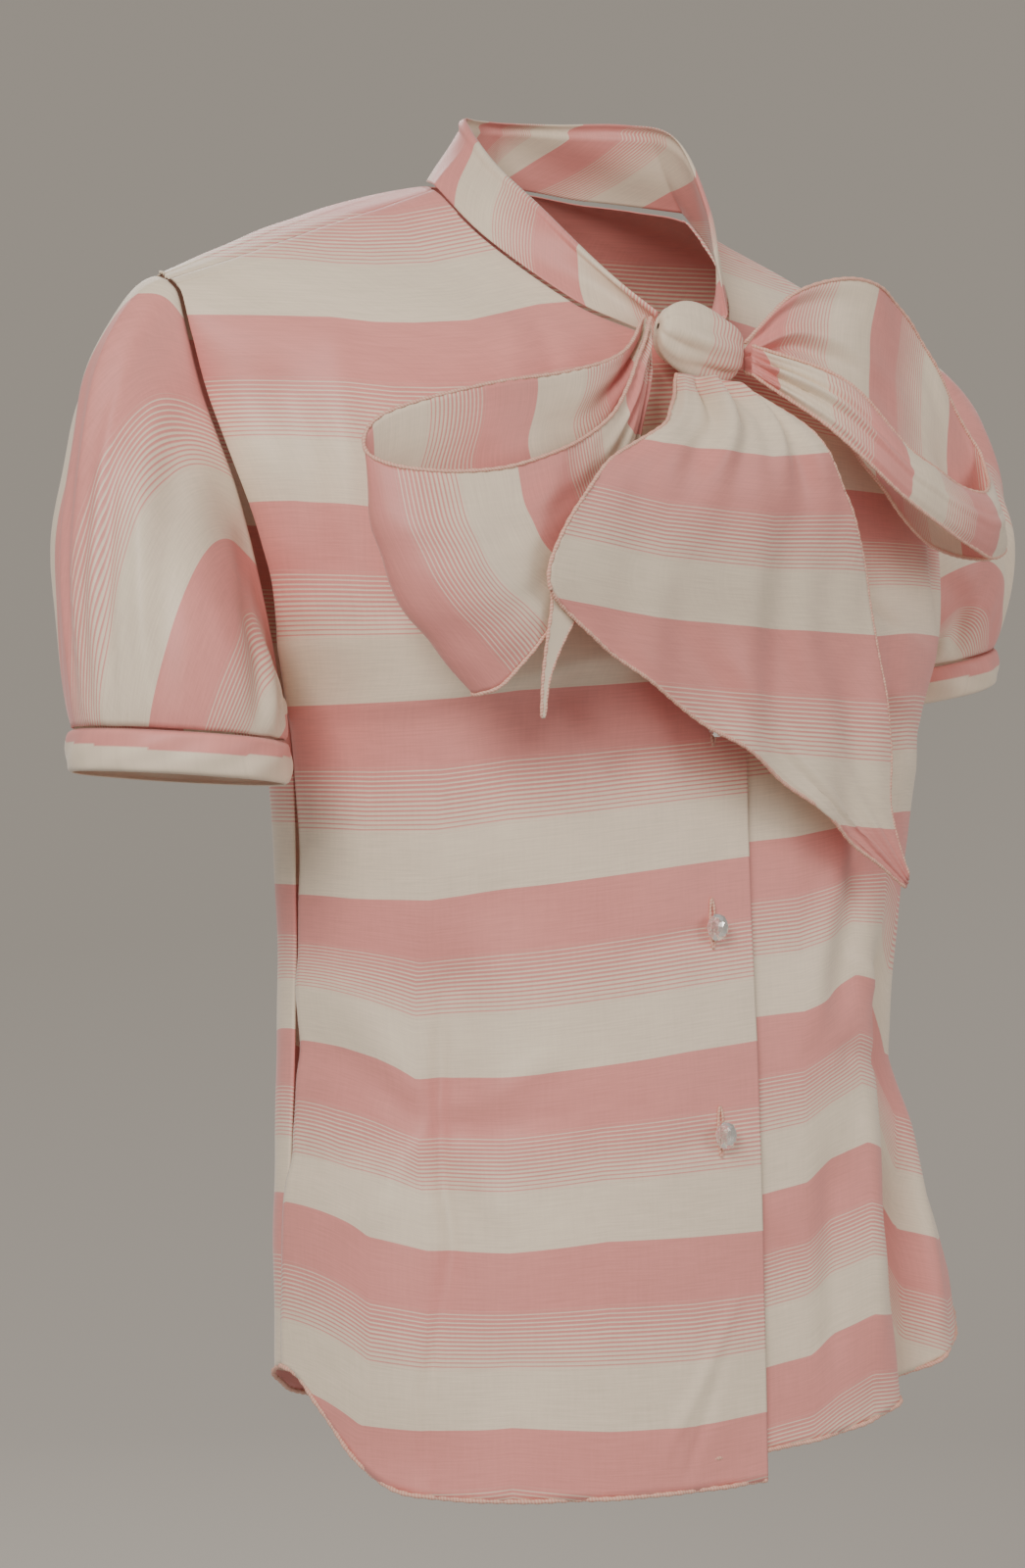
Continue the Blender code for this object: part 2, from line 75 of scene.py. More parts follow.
# %% Lights
def soft_light(name, place, target, size, watts, colour):
    """A square light panel at a place, turned to face a target."""
    data = bpy.data.lights.new(name, "AREA")
    data.shape = "DISK"
    data.size = size
    data.energy = watts
    data.color = colour
    lamp = bpy.data.objects.new(name, data)
    lamp.location = place
    away = np.array(place) - np.array(target)
    flat = np.hypot(away[0], away[1])
    lamp.rotation_euler = (np.arctan2(flat, away[2]), 0, np.arctan2(away[1], away[0]) + pi / 2)
    bpy.context.scene.collection.objects.link(lamp)


soft_light("window", (-2.2, -1.5, 1.1), (0, 0, -0.25), 1.3, 62, (1.0, 0.95, 0.88))
soft_light("room", (1.6, -2.2, 0.5), (0, 0, -0.25), 1.6, 22, (1.0, 0.93, 0.86))
soft_light("rim", (0.6, 2.0, 1.2), (0, 0, -0.2), 1.2, 20, (1.0, 0.96, 0.92))
world = bpy.data.worlds.new("surroundings")
world.use_nodes = True
world.node_tree.nodes["Background"].inputs["Color"].default_value = (1.0, 0.955, 0.90, 1)
world.node_tree.nodes["Background"].inputs["Strength"].default_value = 0.42
bpy.context.scene.world = world

# %% Meshes from grids
def quads_of(rows, columns):
    """The four-cornered faces of a grid of points, numbered row by row."""
    index = np.arange(rows * columns).reshape(rows, columns)
    quads = np.stack([index[:-1, :-1], index[:-1, 1:], index[1:, 1:], index[1:, :-1]], axis=-1)
    return quads.reshape(-1, 4)


def grid_mesh(name, grid, uv, flip=False, weld=False):
    """An object whose mesh is a grid of points, with a UV map in metres of cloth."""
    rows, columns = grid.shape[:2]
    quads = quads_of(rows, columns)
    quads = quads[:, ::-1] if flip else quads
    mesh = bpy.data.meshes.new(name)
    mesh.from_pydata(grid.reshape(-1, 3).tolist(), [], quads.tolist())
    layer = mesh.uv_layers.new(name="cloth")
    layer.data.foreach_set("uv", uv.reshape(-1, 2)[quads.ravel()].ravel().astype(np.float32))
    if weld:
        sewn = bmesh.new()
        sewn.from_mesh(mesh)
        bmesh.ops.remove_doubles(sewn, verts=sewn.verts, dist=0.00001)
        sewn.to_mesh(mesh)
        sewn.free()
    mesh.shade_smooth()
    obj = bpy.data.objects.new(name, mesh)
    bpy.context.scene.collection.objects.link(obj)
    return obj


def steps_along(grid, axis):
    """The distance from the grid's first row or column to each point, along the other way."""
    steps = np.linalg.norm(np.diff(grid, axis=axis), axis=-1)
    start = np.zeros_like(np.take(steps, [0], axis=axis))
    return np.concatenate([start, np.cumsum(steps, axis=axis)], axis=axis)


def area_of(grid):
    """The area of a grid: the cross product of its two steps at each cell, summed."""
    a = grid[1:, 1:] - grid[:-1, :-1]
    b = grid[1:, :-1] - grid[:-1, 1:]
    return float(np.linalg.norm(np.cross(a, b), axis=-1).sum() / 2)


# %% Floor
def studio_floor():
    """A flat disc whose rim bends up a quarter circle into a round wall."""
    flat, bend, height, bottom = 2.3, 1.2, 3.0, -0.95
    angle = np.linspace(0, pi / 2, 16)
    inner = np.linspace(0.001, flat, 8)[:-1]
    out = np.concatenate([inner, flat + bend * np.sin(angle), [flat + bend]])
    up = np.concatenate([np.zeros(7), bend * (1 - np.cos(angle)), [height]])
    turn = np.linspace(0, 2 * pi, 73)
    x = out[:, None] * np.cos(turn)
    y = out[:, None] * np.sin(turn)
    z = bottom + up[:, None] + 0 * turn
    return np.stack([x, y, z], axis=-1)


ground = studio_floor()
floor = grid_mesh("studio_floor", ground, ground[..., :2], weld=True)
floor.visible_diffuse = False
floor.visible_shadow = False
print("floor reaches", round(float(ground[..., 0].max()), 2), "m")

# %% [markdown]
# ## Writing materials as sums
# A procedural material is a small calculation. The class below wraps one socket of a node
# tree, so that stripes and threads can be written as plain expressions: each operator adds
# the Math node that works it out. Any other node comes from its one method, `node`.

# %% Socket arithmetic
class Value:
    """One output socket of a node tree, with arithmetic that adds Math nodes."""

    def __init__(self, tree, socket):
        self.tree = tree
        self.socket = socket

    def node(self, kind, settings=None, output=0, **sockets):
        """Any other node: its settings are set first, then its sockets are filled."""
        made = self.tree.nodes.new("ShaderNode" + kind)
        for key, value in (settings or {}).items():
            setattr(made, key, value)
        for key, value in sockets.items():
            slot = made.inputs[int(key[1:])] if key[0] == "_" else made.inputs[key.replace("_", " ")]
            if isinstance(value, Value):
                self.tree.links.new(value.socket, slot)
            else:
                slot.default_value = value
        return Value(self.tree, made.outputs[output])

    def math(self, operation, *others):
        terms = {"_" + str(i): term for i, term in enumerate((self, *others))}
        return self.node("Math", {"operation": operation}, **terms)

    def __add__(self, other):
        return self.math("ADD", other)

    def __sub__(self, other):
        return self.math("SUBTRACT", other)

    def __mul__(self, other):
        return self.math("MULTIPLY", other)

    def __truediv__(self, other):
        return self.math("DIVIDE", other)

    def __rsub__(self, other):
        return self.node("Math", {"operation": "SUBTRACT"}, _0=other, _1=self)

    __radd__ = __add__
    __rmul__ = __mul__

    def share(self):
        return self.math("FRACT")

    def above(self, edge, soft):
        """0 below an edge and 1 above it, with a soft step between."""
        kind = {"interpolation_type": "SMOOTHSTEP"}
        return self.node("MapRange", kind, Value=self, From_Min=edge - soft, From_Max=edge + soft)


def new_material(name):
    """An empty Principled material, its tree as a Value to start from, and its shader."""
    made = bpy.data.materials.new(name)
    made.use_nodes = True
    shader = made.node_tree.nodes["Principled BSDF"]
    return made, Value(made.node_tree, None), shader


def mixed(start, share, low, high):
    """A colour between two others, by a share from 0 to 1."""
    return start.node("Mix", {"data_type": "RGBA"}, 2, _0=share, _6=low, _7=high)


print("materials can be written as sums now")

# %% [markdown]
# ## The striped cotton
# The cloth repeats three bands of equal height: plain pink, fine pinstripes and plain cream.
# The pinstripes start as thin cream lines on pink and end as thin pink lines on cream. All
# of it hangs on one number, the distance along the cloth that each piece's UV map gives.
# Slubs, the thick places in the yarn, run along the stripes, so their noise is stretched.

# %% Stripes
REPEAT = 0.078
LINES = 14
PINK = (0.78, 0.305, 0.275, 1)
CREAM = (0.83, 0.70, 0.55, 1)


def striped_cotton(name, alpha, sheen, roughness, pink=PINK, cream=CREAM):
    """Bands by the share of a repeat, pinstripes by the share of a line, slubs by noise."""
    made, start, shader = new_material(name)
    place = start.node("UVMap", {"uv_map": "cloth"})
    u = start.node("SeparateXYZ", output=0, Vector=place)
    v = start.node("SeparateXYZ", output=1, Vector=place)
    wave = start.node("TexNoise", Scale=9.0, Detail=1.0, Vector=place)
    repeat = (v / REPEAT + (wave - 0.5) * 0.012).share()
    in_pins = repeat.above(1 / 3, 0.004) * (1 - repeat.above(2 / 3, 0.004))
    in_cream = repeat.above(2 / 3, 0.004)
    along = (repeat - 1 / 3) * 3
    line = (along * LINES).share()
    edge = 0.80 - along * 0.55
    step = (line - edge) * 4 + 0.5
    pale_line = step.node("Clamp", Value=step)
    cream_share = in_pins * pale_line + in_cream
    slub_place = start.node("CombineXYZ", X=u * 55, Y=v * 1400, Z=0.0)
    slub = start.node("TexNoise", Scale=1.0, Detail=3.0, Roughness=0.6, Vector=slub_place)
    thread_place = start.node("CombineXYZ", X=u * 700, Y=v * 60, Z=3.0)
    thread = start.node("TexNoise", Scale=1.0, Detail=2.0, Vector=thread_place)
    cloud = start.node("TexNoise", Scale=22.0, Detail=2.0, Vector=place)
    colour = mixed(start, cream_share, pink, cream)
    shade = (slub - 0.5) * 0.34 + (thread - 0.5) * 0.12 + (cloud - 0.5) * 0.16 + 1.0
    tint = start.node("CombineXYZ", X=shade, Y=shade, Z=shade)
    colour = start.node("VectorMath", {"operation": "MULTIPLY"}, _0=colour, _1=tint)
    tree = made.node_tree
    tree.links.new(colour.socket, shader.inputs["Base Color"])
    rough = roughness + (slub - 0.5) * 0.2 + (cloud - 0.5) * 0.12
    tree.links.new(rough.socket, shader.inputs["Roughness"])
    relief = slub * 0.6 + thread * 0.4
    bump = start.node("Bump", Strength=0.25, Distance=0.0004, Height=relief)
    tree.links.new(bump.socket, shader.inputs["Normal"])
    shader.inputs["Alpha"].default_value = alpha
    shader.inputs["Sheen Weight"].default_value = sheen
    shader.inputs["Sheen Roughness"].default_value = 0.4
    shader.inputs["Specular IOR Level"].default_value = 0.42
    return made


body_cloth = striped_cotton("striped cotton", 1.0, 0.25, 0.50)
tie_cloth = striped_cotton("thin striped tie cloth", 0.90, 0.25, 0.46)
print("stripes repeat every", REPEAT * 1000, "mm")

# %% Edge thread
def edge_thread():
    """Overlocked edge: short slanting stitches of pale and pink thread along the edge."""
    made, start, shader = new_material("edge thread")
    place = start.node("UVMap", {"uv_map": "cloth"})
    u = start.node("SeparateXYZ", output=0, Vector=place)
    v = start.node("SeparateXYZ", output=1, Vector=place)
    stitch = ((u / 0.0014) + v * 0.8).share()
    ridge = 1 - (stitch - 0.5).math("ABSOLUTE") * 2
    patch = start.node("TexNoise", Scale=60.0, Detail=1.0, Vector=place).above(0.5, 0.12)
    colour = mixed(start, ridge * 0.55 + patch * 0.35, (0.66, 0.27, 0.22, 1), (0.90, 0.66, 0.50, 1))
    made.node_tree.links.new(colour.socket, shader.inputs["Base Color"])
    bump = start.node("Bump", Strength=0.6, Distance=0.0003, Height=ridge)
    made.node_tree.links.new(bump.socket, shader.inputs["Normal"])
    shader.inputs["Roughness"].default_value = 0.6
    return made


thread_finish = edge_thread()

# %% Crystal and floor finishes
def crystal():
    """Clear cut glass, with a faint unevenness in its polish."""
    made, start, shader = new_material("clear crystal")
    place = start.node("TexCoord", output=3)
    polish = start.node("TexNoise", Scale=400.0, Detail=1.0, Vector=place)
    made.node_tree.links.new((polish * 0.05).socket, shader.inputs["Roughness"])
    shader.inputs["Base Color"].default_value = (0.93, 0.91, 0.90, 1)
    shader.inputs["Transmission Weight"].default_value = 0.9
    shader.inputs["IOR"].default_value = 1.55
    shader.inputs["Coat Weight"].default_value = 0.5
    return made


crystal_finish = crystal()
floor_finish, floor_start, floor_shader = new_material("pale floor")
floor_shader.inputs["Base Color"].default_value = (0.52, 0.49, 0.45, 1)
floor_shader.inputs["Roughness"].default_value = 0.9
floor.data.materials.append(floor_finish)
print("finishes made:", len(bpy.data.materials))

# %% [markdown]
# ## The body's form
# Front and back are lofts: a short table gives sizes at each height, smooth curves run
# through its rows, and each row is a superellipse seen from above. The same tables shaped
# the rigid walls, so a fine sheet made from them lies on those walls everywhere.

# %% Tables of the body
Row = namedtuple("Row", "name z_in z_out x_in x_out y_in y_out roundness rise lap")
LAP = 0.0165
FRONT = [
    Row("hem", -0.549, -0.502, 0, 0.152, -0.115, 0.014, 2.4, 40, LAP),
    Row("hip", -0.470, -0.452, 0, 0.151, -0.113, 0.014, 2.4, 6, LAP),
    Row("waist", -0.385, -0.380, 0, 0.147, -0.110, 0.013, 2.4, 2, LAP),
    Row("under bust", -0.310, -0.305, 0, 0.148, -0.105, 0.009, 2.5, 2, LAP),
    Row("bust", -0.240, -0.232, 0, 0.155, -0.102, 0.002, 2.6, 2, LAP),
    Row("chest", -0.185, -0.185, 0, 0.175, -0.100, -0.018, 2.3, 2, LAP),
    Row("upper chest", -0.130, -0.138, 0, 0.187, -0.094, -0.019, 2.0, 2, LAP),
    Row("throat", -0.078, -0.100, 0.004, 0.195, -0.083, -0.009, 1.7, 1.5, 0.004),
    Row("neckline", -0.055, -0.074, 0.042, 0.201, -0.060, -0.007, 1.5, 1.2, 0),
    Row("neck side", -0.026, -0.057, 0.064, 0.204, -0.026, -0.005, 1.2, 1.1, 0),
    Row("shoulder", 0.000, -0.050, 0.070, 0.205, 0.004, 0.002, 1.0, 1.0, 0),
]
FRONT_LEFT = [
    Row("hem", -0.537, -0.492, 0, 0.152, -0.115, 0.014, 2.4, 2.4, LAP),
    Row("hip", -0.465, -0.450, 0, 0.151, -0.113, 0.014, 2.4, 3, LAP),
] + FRONT[2:]
BACK = [
    Row("hem", -0.528, -0.502, 0, 0.152, 0.083, 0.014, 1.9, 6, 0),
    Row("hip", -0.460, -0.452, 0, 0.151, 0.086, 0.014, 1.95, 4, 0),
    Row("waist", -0.380, -0.380, 0, 0.147, 0.089, 0.013, 2.0, 2, 0),
    Row("under blades", -0.305, -0.305, 0, 0.148, 0.091, 0.009, 2.0, 2, 0),
    Row("underarm", -0.232, -0.232, 0, 0.155, 0.095, 0.002, 2.1, 2, 0),
    Row("blades", -0.180, -0.185, 0, 0.175, 0.099, 0.030, 2.3, 2, 0),
    Row("upper blades", -0.125, -0.138, 0, 0.187, 0.101, 0.042, 2.2, 2, 0),
    Row("yoke", -0.072, -0.100, 0, 0.195, 0.094, 0.041, 2.1, 1.6, 0),
    Row("upper back", -0.026, -0.072, 0, 0.201, 0.078, 0.032, 1.9, 1.4, 0),
    Row("nape", 0.010, -0.056, 0, 0.203, 0.060, 0.020, 1.6, 1.3, 0),
    Row("neck side", 0.008, -0.048, 0.044, 0.204, 0.042, 0.012, 1.3, 1.3, 0),
    Row("shoulder", 0.000, -0.050, 0.070, 0.205, 0.004, 0.002, 1.0, 1.0, 0),
]
UNDERARM_ROW = 4
Sway = namedtuple("Sway", "z shift left_flare")
SWAY = [
    Sway(-0.55, 0.014, 0.052),
    Sway(-0.48, 0.013, 0.036),
    Sway(-0.38, 0.011, 0.000),
    Sway(-0.25, 0.010, 0.010),
    Sway(-0.12, 0.004, 0.000),
    Sway(0.00, 0.000, 0.000),
]
SWAY_FULL_FROM = 0.09
SEAM_GAP = 0.0004
SHOULDER_GAP = 0.0007
LAP_STEP = 0.0012 + 1.5 * SEAM_GAP
LAP_SPARE = 0.004
LAP_RETURN = 0.022
print("rows in the front's table:", len(FRONT))

# %% Curves through the tables
def along(rows, places):
    """Every column of a table at places counted in rows: a cubic through each pair of rows."""
    table = np.array([row[1:] if isinstance(row[0], str) else row for row in rows], float)
    names = [name for name in rows[0]._fields if name != "name"]
    slopes = np.gradient(table, axis=0)
    first = np.clip(np.floor(places).astype(int), 0, len(table) - 2)
    t = (places - first)[:, None]
    values = (
        (2 * t**3 - 3 * t**2 + 1) * table[first]
        + (t**3 - 2 * t**2 + t) * slopes[first]
        + (3 * t**2 - 2 * t**3) * table[first + 1]
        + (t**3 - t**2) * slopes[first + 1]
    )
    return dict(zip(names, values.T[:, :, None]))


def swayed(grid):
    """Below the bust the points move sideways, more with their distance from the centre."""
    table = np.array(SWAY)
    shift = np.interp(grid[..., 2], table[:, 0], table[:, 1])
    flare = np.interp(grid[..., 2], table[:, 0], table[:, 2])
    outward = np.clip(grid[..., 0] / FRONT[0].x_out, 0, 1) ** 2
    held = np.clip(np.abs(grid[..., 0]) / SWAY_FULL_FROM, 0, 1)
    move = shift * held * held * (3 - 2 * held) + flare * outward
    return grid + np.stack([move, 0 * move, 0 * move], axis=-1)


def normals(grid):
    """Unit normals: the cross product of the grid's two directions, divided by its length."""
    cross = np.cross(np.gradient(grid, axis=1), np.gradient(grid, axis=0))
    return cross / np.maximum(np.linalg.norm(cross, axis=-1, keepdims=True), 1e-12)


def half_panel(rows, side, places, across, seam_shift):
    """Half of the body's front or back: y falls from y_in to y_out as (1 - w^n)^(1/n)."""
    r = along(rows, places)
    r["x_in"] = np.maximum(r["x_in"], 0)
    side_seam = along(rows[: UNDERARM_ROW + 1], np.minimum(places, UNDERARM_ROW))
    for column in ("x_out", "y_out", "z_out"):
        r[column] = np.where(places[:, None] > UNDERARM_ROW, r[column], side_seam[column])
    width = r["x_out"] - r["x_in"]
    start = -np.arcsin(np.clip(r["lap"] / width, 0, 1))
    angle = start + (pi / 2 - start) * across[None, :]
    w = np.clip(np.sin(angle), -1, 1)
    n = r["roundness"]
    y_out = r["y_out"] + seam_shift
    fall = (1 - np.abs(w) ** n) ** (1 / n)
    x = side * (r["x_in"] + width * w)
    y = y_out + (r["y_in"] - y_out) * fall
    z = r["z_in"] + (r["z_out"] - r["z_in"]) * np.abs(w) ** r["rise"]
    return np.stack([x + 0 * z, y, z], axis=-1)


# %% [markdown]
# ## Folds
# A fold is a soft ridge or trough along a line on the panel, seen from the front. The large
# ones are in the walls already, and the fine ones are added here: the dart's pinch at the
# waist and the creases that run out from it, drag lines at the buttons, and pressed marks
# near the hem. A little of every sheet is also uneven, as worn cotton is.

# %% Fold tables
Fold = namedtuple("Fold", "x_top z_top x_end z_end width depth")
FRONT_FOLDS = [
    Fold(-0.088, -0.180, -0.080, -0.215, 0.050, 0.008),
    Fold(0.088, -0.180, 0.080, -0.215, 0.050, 0.008),
    Fold(-0.113, -0.330, -0.113, -0.430, 0.013, -0.007),
    Fold(-0.113, -0.430, -0.118, -0.548, 0.010, -0.004),
    Fold(-0.135, -0.420, -0.135, -0.520, 0.018, 0.004),
    Fold(0.118, -0.330, 0.122, -0.450, 0.014, -0.010),
    Fold(0.122, -0.430, 0.134, -0.560, 0.016, -0.020),
    Fold(-0.172, -0.090, -0.166, -0.180, 0.010, -0.004),
    Fold(0.172, -0.090, 0.166, -0.180, 0.010, -0.004),
]
FINE_FOLDS = [
    Fold(-0.1105, -0.352, -0.1105, -0.445, 0.0022, -0.0022),
    Fold(-0.1105, -0.445, -0.1175, -0.500, 0.0026, -0.0016),
    Fold(-0.1175, -0.495, -0.1175, -0.552, 0.0024, -0.0012),
    Fold(-0.138, -0.336, -0.116, -0.388, 0.0050, 0.0018),
    Fold(-0.142, -0.360, -0.118, -0.395, 0.0050, -0.0014),
    Fold(-0.116, -0.400, -0.136, -0.440, 0.0050, 0.0016),
    Fold(-0.120, -0.398, -0.144, -0.420, 0.0045, -0.0012),
    Fold(-0.108, -0.392, -0.078, -0.368, 0.0055, 0.0016),
    Fold(-0.108, -0.398, -0.070, -0.392, 0.0050, -0.0012),
    Fold(-0.107, -0.402, -0.096, -0.436, 0.0050, 0.0014),
    Fold(-0.104, -0.300, -0.098, -0.362, 0.0120, -0.0016),
    Fold(-0.072, -0.212, -0.040, -0.262, 0.0110, -0.0030),
    Fold(-0.052, -0.196, -0.020, -0.246, 0.0090, 0.0018),
    Fold(0.004, -0.470, -0.032, -0.528, 0.0030, 0.0012),
    Fold(-0.006, -0.500, -0.024, -0.540, 0.0028, -0.0010),
    Fold(-0.010, -0.319, -0.045, -0.326, 0.0040, -0.0009),
    Fold(-0.010, -0.405, -0.048, -0.412, 0.0040, -0.0010),
    Fold(-0.012, -0.235, -0.050, -0.250, 0.0060, -0.0014),
    Fold(-0.078, -0.060, -0.086, -0.110, 0.0060, 0.0012),
    Fold(-0.064, -0.064, -0.070, -0.118, 0.0050, -0.0014),
    Fold(-0.150, -0.070, -0.158, -0.150, 0.0060, 0.0012),
    Fold(-0.128, -0.240, -0.146, -0.300, 0.0100, -0.0014),
    Fold(-0.060, -0.430, -0.064, -0.530, 0.0180, 0.0020),
    Fold(0.098, -0.270, 0.070, -0.350, 0.0120, -0.0040),
    Fold(0.078, -0.280, 0.050, -0.360, 0.0100, 0.0022),
    Fold(0.062, -0.420, 0.060, -0.500, 0.0100, -0.0030),
    Fold(0.088, -0.400, 0.090, -0.500, 0.0090, 0.0026),
    Fold(0.110, -0.350, 0.080, -0.330, 0.0050, 0.0016),
    Fold(0.112, -0.380, 0.072, -0.372, 0.0050, -0.0014),
    Fold(0.020, -0.440, 0.050, -0.480, 0.0040, -0.0010),
    Fold(0.140, -0.400, 0.150, -0.500, 0.0080, 0.0030),
    Fold(0.100, -0.160, 0.110, -0.240, 0.0100, -0.0020),
]
BACK_FOLDS = [
    Fold(-0.085, -0.280, -0.085, -0.430, 0.013, -0.006),
    Fold(0.085, -0.280, 0.085, -0.430, 0.013, -0.006),
    Fold(-0.060, -0.430, -0.066, -0.540, 0.028, 0.004),
    Fold(0.050, -0.420, 0.058, -0.540, 0.030, 0.005),
    Fold(-0.120, -0.100, -0.105, -0.220, 0.020, -0.003),
    Fold(0.120, -0.100, 0.105, -0.220, 0.020, -0.003),
]
FINE_BACK_FOLDS = [
    Fold(-0.085, -0.290, -0.085, -0.425, 0.0022, -0.0020),
    Fold(0.085, -0.290, 0.085, -0.425, 0.0022, -0.0020),
    Fold(-0.085, -0.360, -0.050, -0.340, 0.0060, 0.0016),
    Fold(0.085, -0.360, 0.046, -0.345, 0.0060, 0.0016),
    Fold(-0.085, -0.365, -0.120, -0.400, 0.0060, -0.0014),
    Fold(0.085, -0.370, 0.122, -0.392, 0.0060, -0.0014),
    Fold(-0.020, -0.380, 0.030, -0.410, 0.0080, 0.0018),
    Fold(-0.040, -0.350, 0.010, -0.366, 0.0080, -0.0016),
    Fold(-0.140, -0.180, -0.090, -0.260, 0.0090, -0.0018),
    Fold(0.140, -0.180, 0.096, -0.255, 0.0090, -0.0018),
    Fold(-0.020, -0.080, -0.024, -0.200, 0.0140, 0.0014),
    Fold(0.100, -0.440, 0.104, -0.520, 0.0100, -0.0020),
]
print("fine folds:", len(FINE_FOLDS) + len(FINE_BACK_FOLDS))

# %% Fold functions
def fold_depth(grid, folds):
    """Each fold adds its depth times exp(-(distance / width)^2), fading past its ends."""
    depth = np.zeros(grid.shape[:2])
    for fold in folds:
        start = np.array([fold.x_top, fold.z_top])
        line = np.array([fold.x_end, fold.z_end]) - start
        offset = grid[..., [0, 2]] - start
        share = offset @ line / (line @ line)
        beyond = np.clip(np.abs(share - 0.5) - 0.35, 0, None) / 0.35
        across = np.abs(offset[..., 0] * line[1] - offset[..., 1] * line[0]) / np.linalg.norm(line)
        depth += fold.depth * np.exp(-((across / fold.width) ** 2) - (beyond**2) * 3)
    return depth


def folded(grid, folds, outward):
    return grid + outward * normals(grid) * fold_depth(grid, folds)[..., None]


def unevenness(a, b, seed, longest, shortest, height):
    """A sum of 14 waves over two cloth distances, with seeded directions and lengths."""
    chance = np.random.default_rng(seed)
    waves = np.zeros(np.broadcast(a, b).shape)
    for _ in range(14):
        turn = chance.uniform(0, pi)
        length = chance.uniform(shortest, longest)
        phase = chance.uniform(0, 2 * pi)
        waves += np.sin(2 * pi * (a * np.cos(turn) + b * np.sin(turn)) / length + phase) * length / longest
    return height * waves / 4


# %% [markdown]
# ## Where the stripes lie
# On the real blouse the bands don't run level: they dip towards each dart, where cloth is
# taken in, and rise towards the armhole. A short table gives the height at which each pink
# band begins, at a few places across the panel. Between them the stripe's number, and with
# it the distance along the cloth, is interpolated.

# %% Stripe tables
RIGHT_AT = (-0.170, -0.150, -0.134, -0.118, -0.095, -0.060, -0.020, 0.0165)
RIGHT_BANDS = [
    (0.012, 0.011, 0.010, 0.010, 0.012, 0.020, 0.028, 0.032),
    (-0.066, -0.0661, -0.0677, -0.0674, -0.0652, -0.0560, -0.050, -0.046),
    (-0.1424, -0.1450, -0.1462, -0.1465, -0.146, -0.142, -0.137, -0.134),
    (-0.2255, -0.2248, -0.2236, -0.2222, -0.2190, -0.2165, -0.2135, -0.211),
    (-0.296, -0.3000, -0.3045, -0.3047, -0.2999, -0.2955, -0.2910, -0.2875),
    (-0.345, -0.3500, -0.3650, -0.3785, -0.3768, -0.3725, -0.3680, -0.365),
    (-0.412, -0.4210, -0.4430, -0.4480, -0.4483, -0.4440, -0.4445, -0.4445),
    (-0.490, -0.4980, -0.5210, -0.5220, -0.5190, -0.5215, -0.5225, -0.5205),
]
LEFT_AT = (-0.0165, 0.020, 0.045, 0.062, 0.085, 0.112, 0.130, 0.160)
LEFT_BANDS = [
    (0.042, 0.040, 0.036, 0.030, 0.024, 0.020, 0.020, 0.020),
    (-0.050, -0.052, -0.055, -0.058, -0.060, -0.062, -0.062, -0.062),
    (-0.126, -0.126, -0.126, -0.127, -0.128, -0.128, -0.128, -0.127),
    (-0.203, -0.202, -0.199, -0.197, -0.1935, -0.191, -0.190, -0.190),
    (-0.283, -0.2816, -0.2795, -0.277, -0.274, -0.270, -0.269, -0.269),
    (-0.356, -0.3552, -0.3537, -0.3490, -0.3398, -0.345, -0.378, -0.386),
    (-0.431, -0.4296, -0.4262, -0.4175, -0.4120, -0.420, -0.456, -0.4635),
    (-0.503, -0.5024, -0.4995, -0.4920, -0.4860, -0.490, -0.530, -0.541),
]
TAIL_AT = (-0.115, -0.060, 0.000, 0.050, 0.090)
TAIL_BANDS = [
    (-0.040, -0.045, -0.048, -0.042, -0.040),
    (-0.112, -0.1205, -0.1225, -0.1170, -0.1165),
    (-0.1835, -0.1900, -0.1922, -0.1928, -0.1935),
    (-0.262, -0.2670, -0.2710, -0.2740, -0.2765),
]


def stripe_place(x, z, at, bands):
    """The distance along the cloth: whole repeats above the point, plus the share of this one."""
    starts = [np.interp(x, at, row) for row in bands]
    total = np.zeros_like(x)
    last = len(starts) - 2
    for number, (top, below) in enumerate(zip(starts, starts[1:])):
        share = (top - z) / (top - below)
        low = -np.inf if number == 0 else 0
        high = np.inf if number == last else 1
        total += np.clip(share, low, high)
    return total * REPEAT


print("pink bands on a front:", len(RIGHT_BANDS))

# %% [markdown]
# ## A sheet on its wall
# Every sheet of cloth is finished the same way: a grid of points, a UV map in metres and a wall
# of half a millimetre on its inner side. The last millimetres at a seam are turned in, which
# draws the seam as a fine dark line.

# %% Sheet maker
SHELL = 0.0005


def cloth_sheet(name, grid, uv, node, finish, flip=False, weld=False):
    """A grid as a thin sheet that stands for one wall, with its cut measured on the grid."""
    obj = grid_mesh(name, grid, uv, flip, weld)
    wall = obj.modifiers.new("wall", "SOLIDIFY")
    wall.thickness = SHELL
    wall.offset = -1
    obj.data.materials.append(finish)
    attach(obj, "root")
    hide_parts(node)
    area = area_of(grid)
    return obj


def fine_across(count):
    """Even steps, with closer ones near both edges."""
    middle = np.linspace(0.012, 0.988, count)
    edge = np.array([0, 0.003, 0.006, 0.009])
    return np.concatenate([edge, middle, 1 - edge[::-1]])


def turned_in(grid, share, outward, depth=0.0011):
    """The points within a hundredth of a seam sink under it, by the square of the way."""
    near = np.clip(1 - share / 0.010, 0, 1)
    return grid - outward * normals(grid) * (depth * near**2)[..., None]


# %% Rolled edges
HEM_RADIUS = 0.0010
HEM_WOBBLE = 0.0006
HEM_INSET = 0.0003
HEM_POINTS = 420


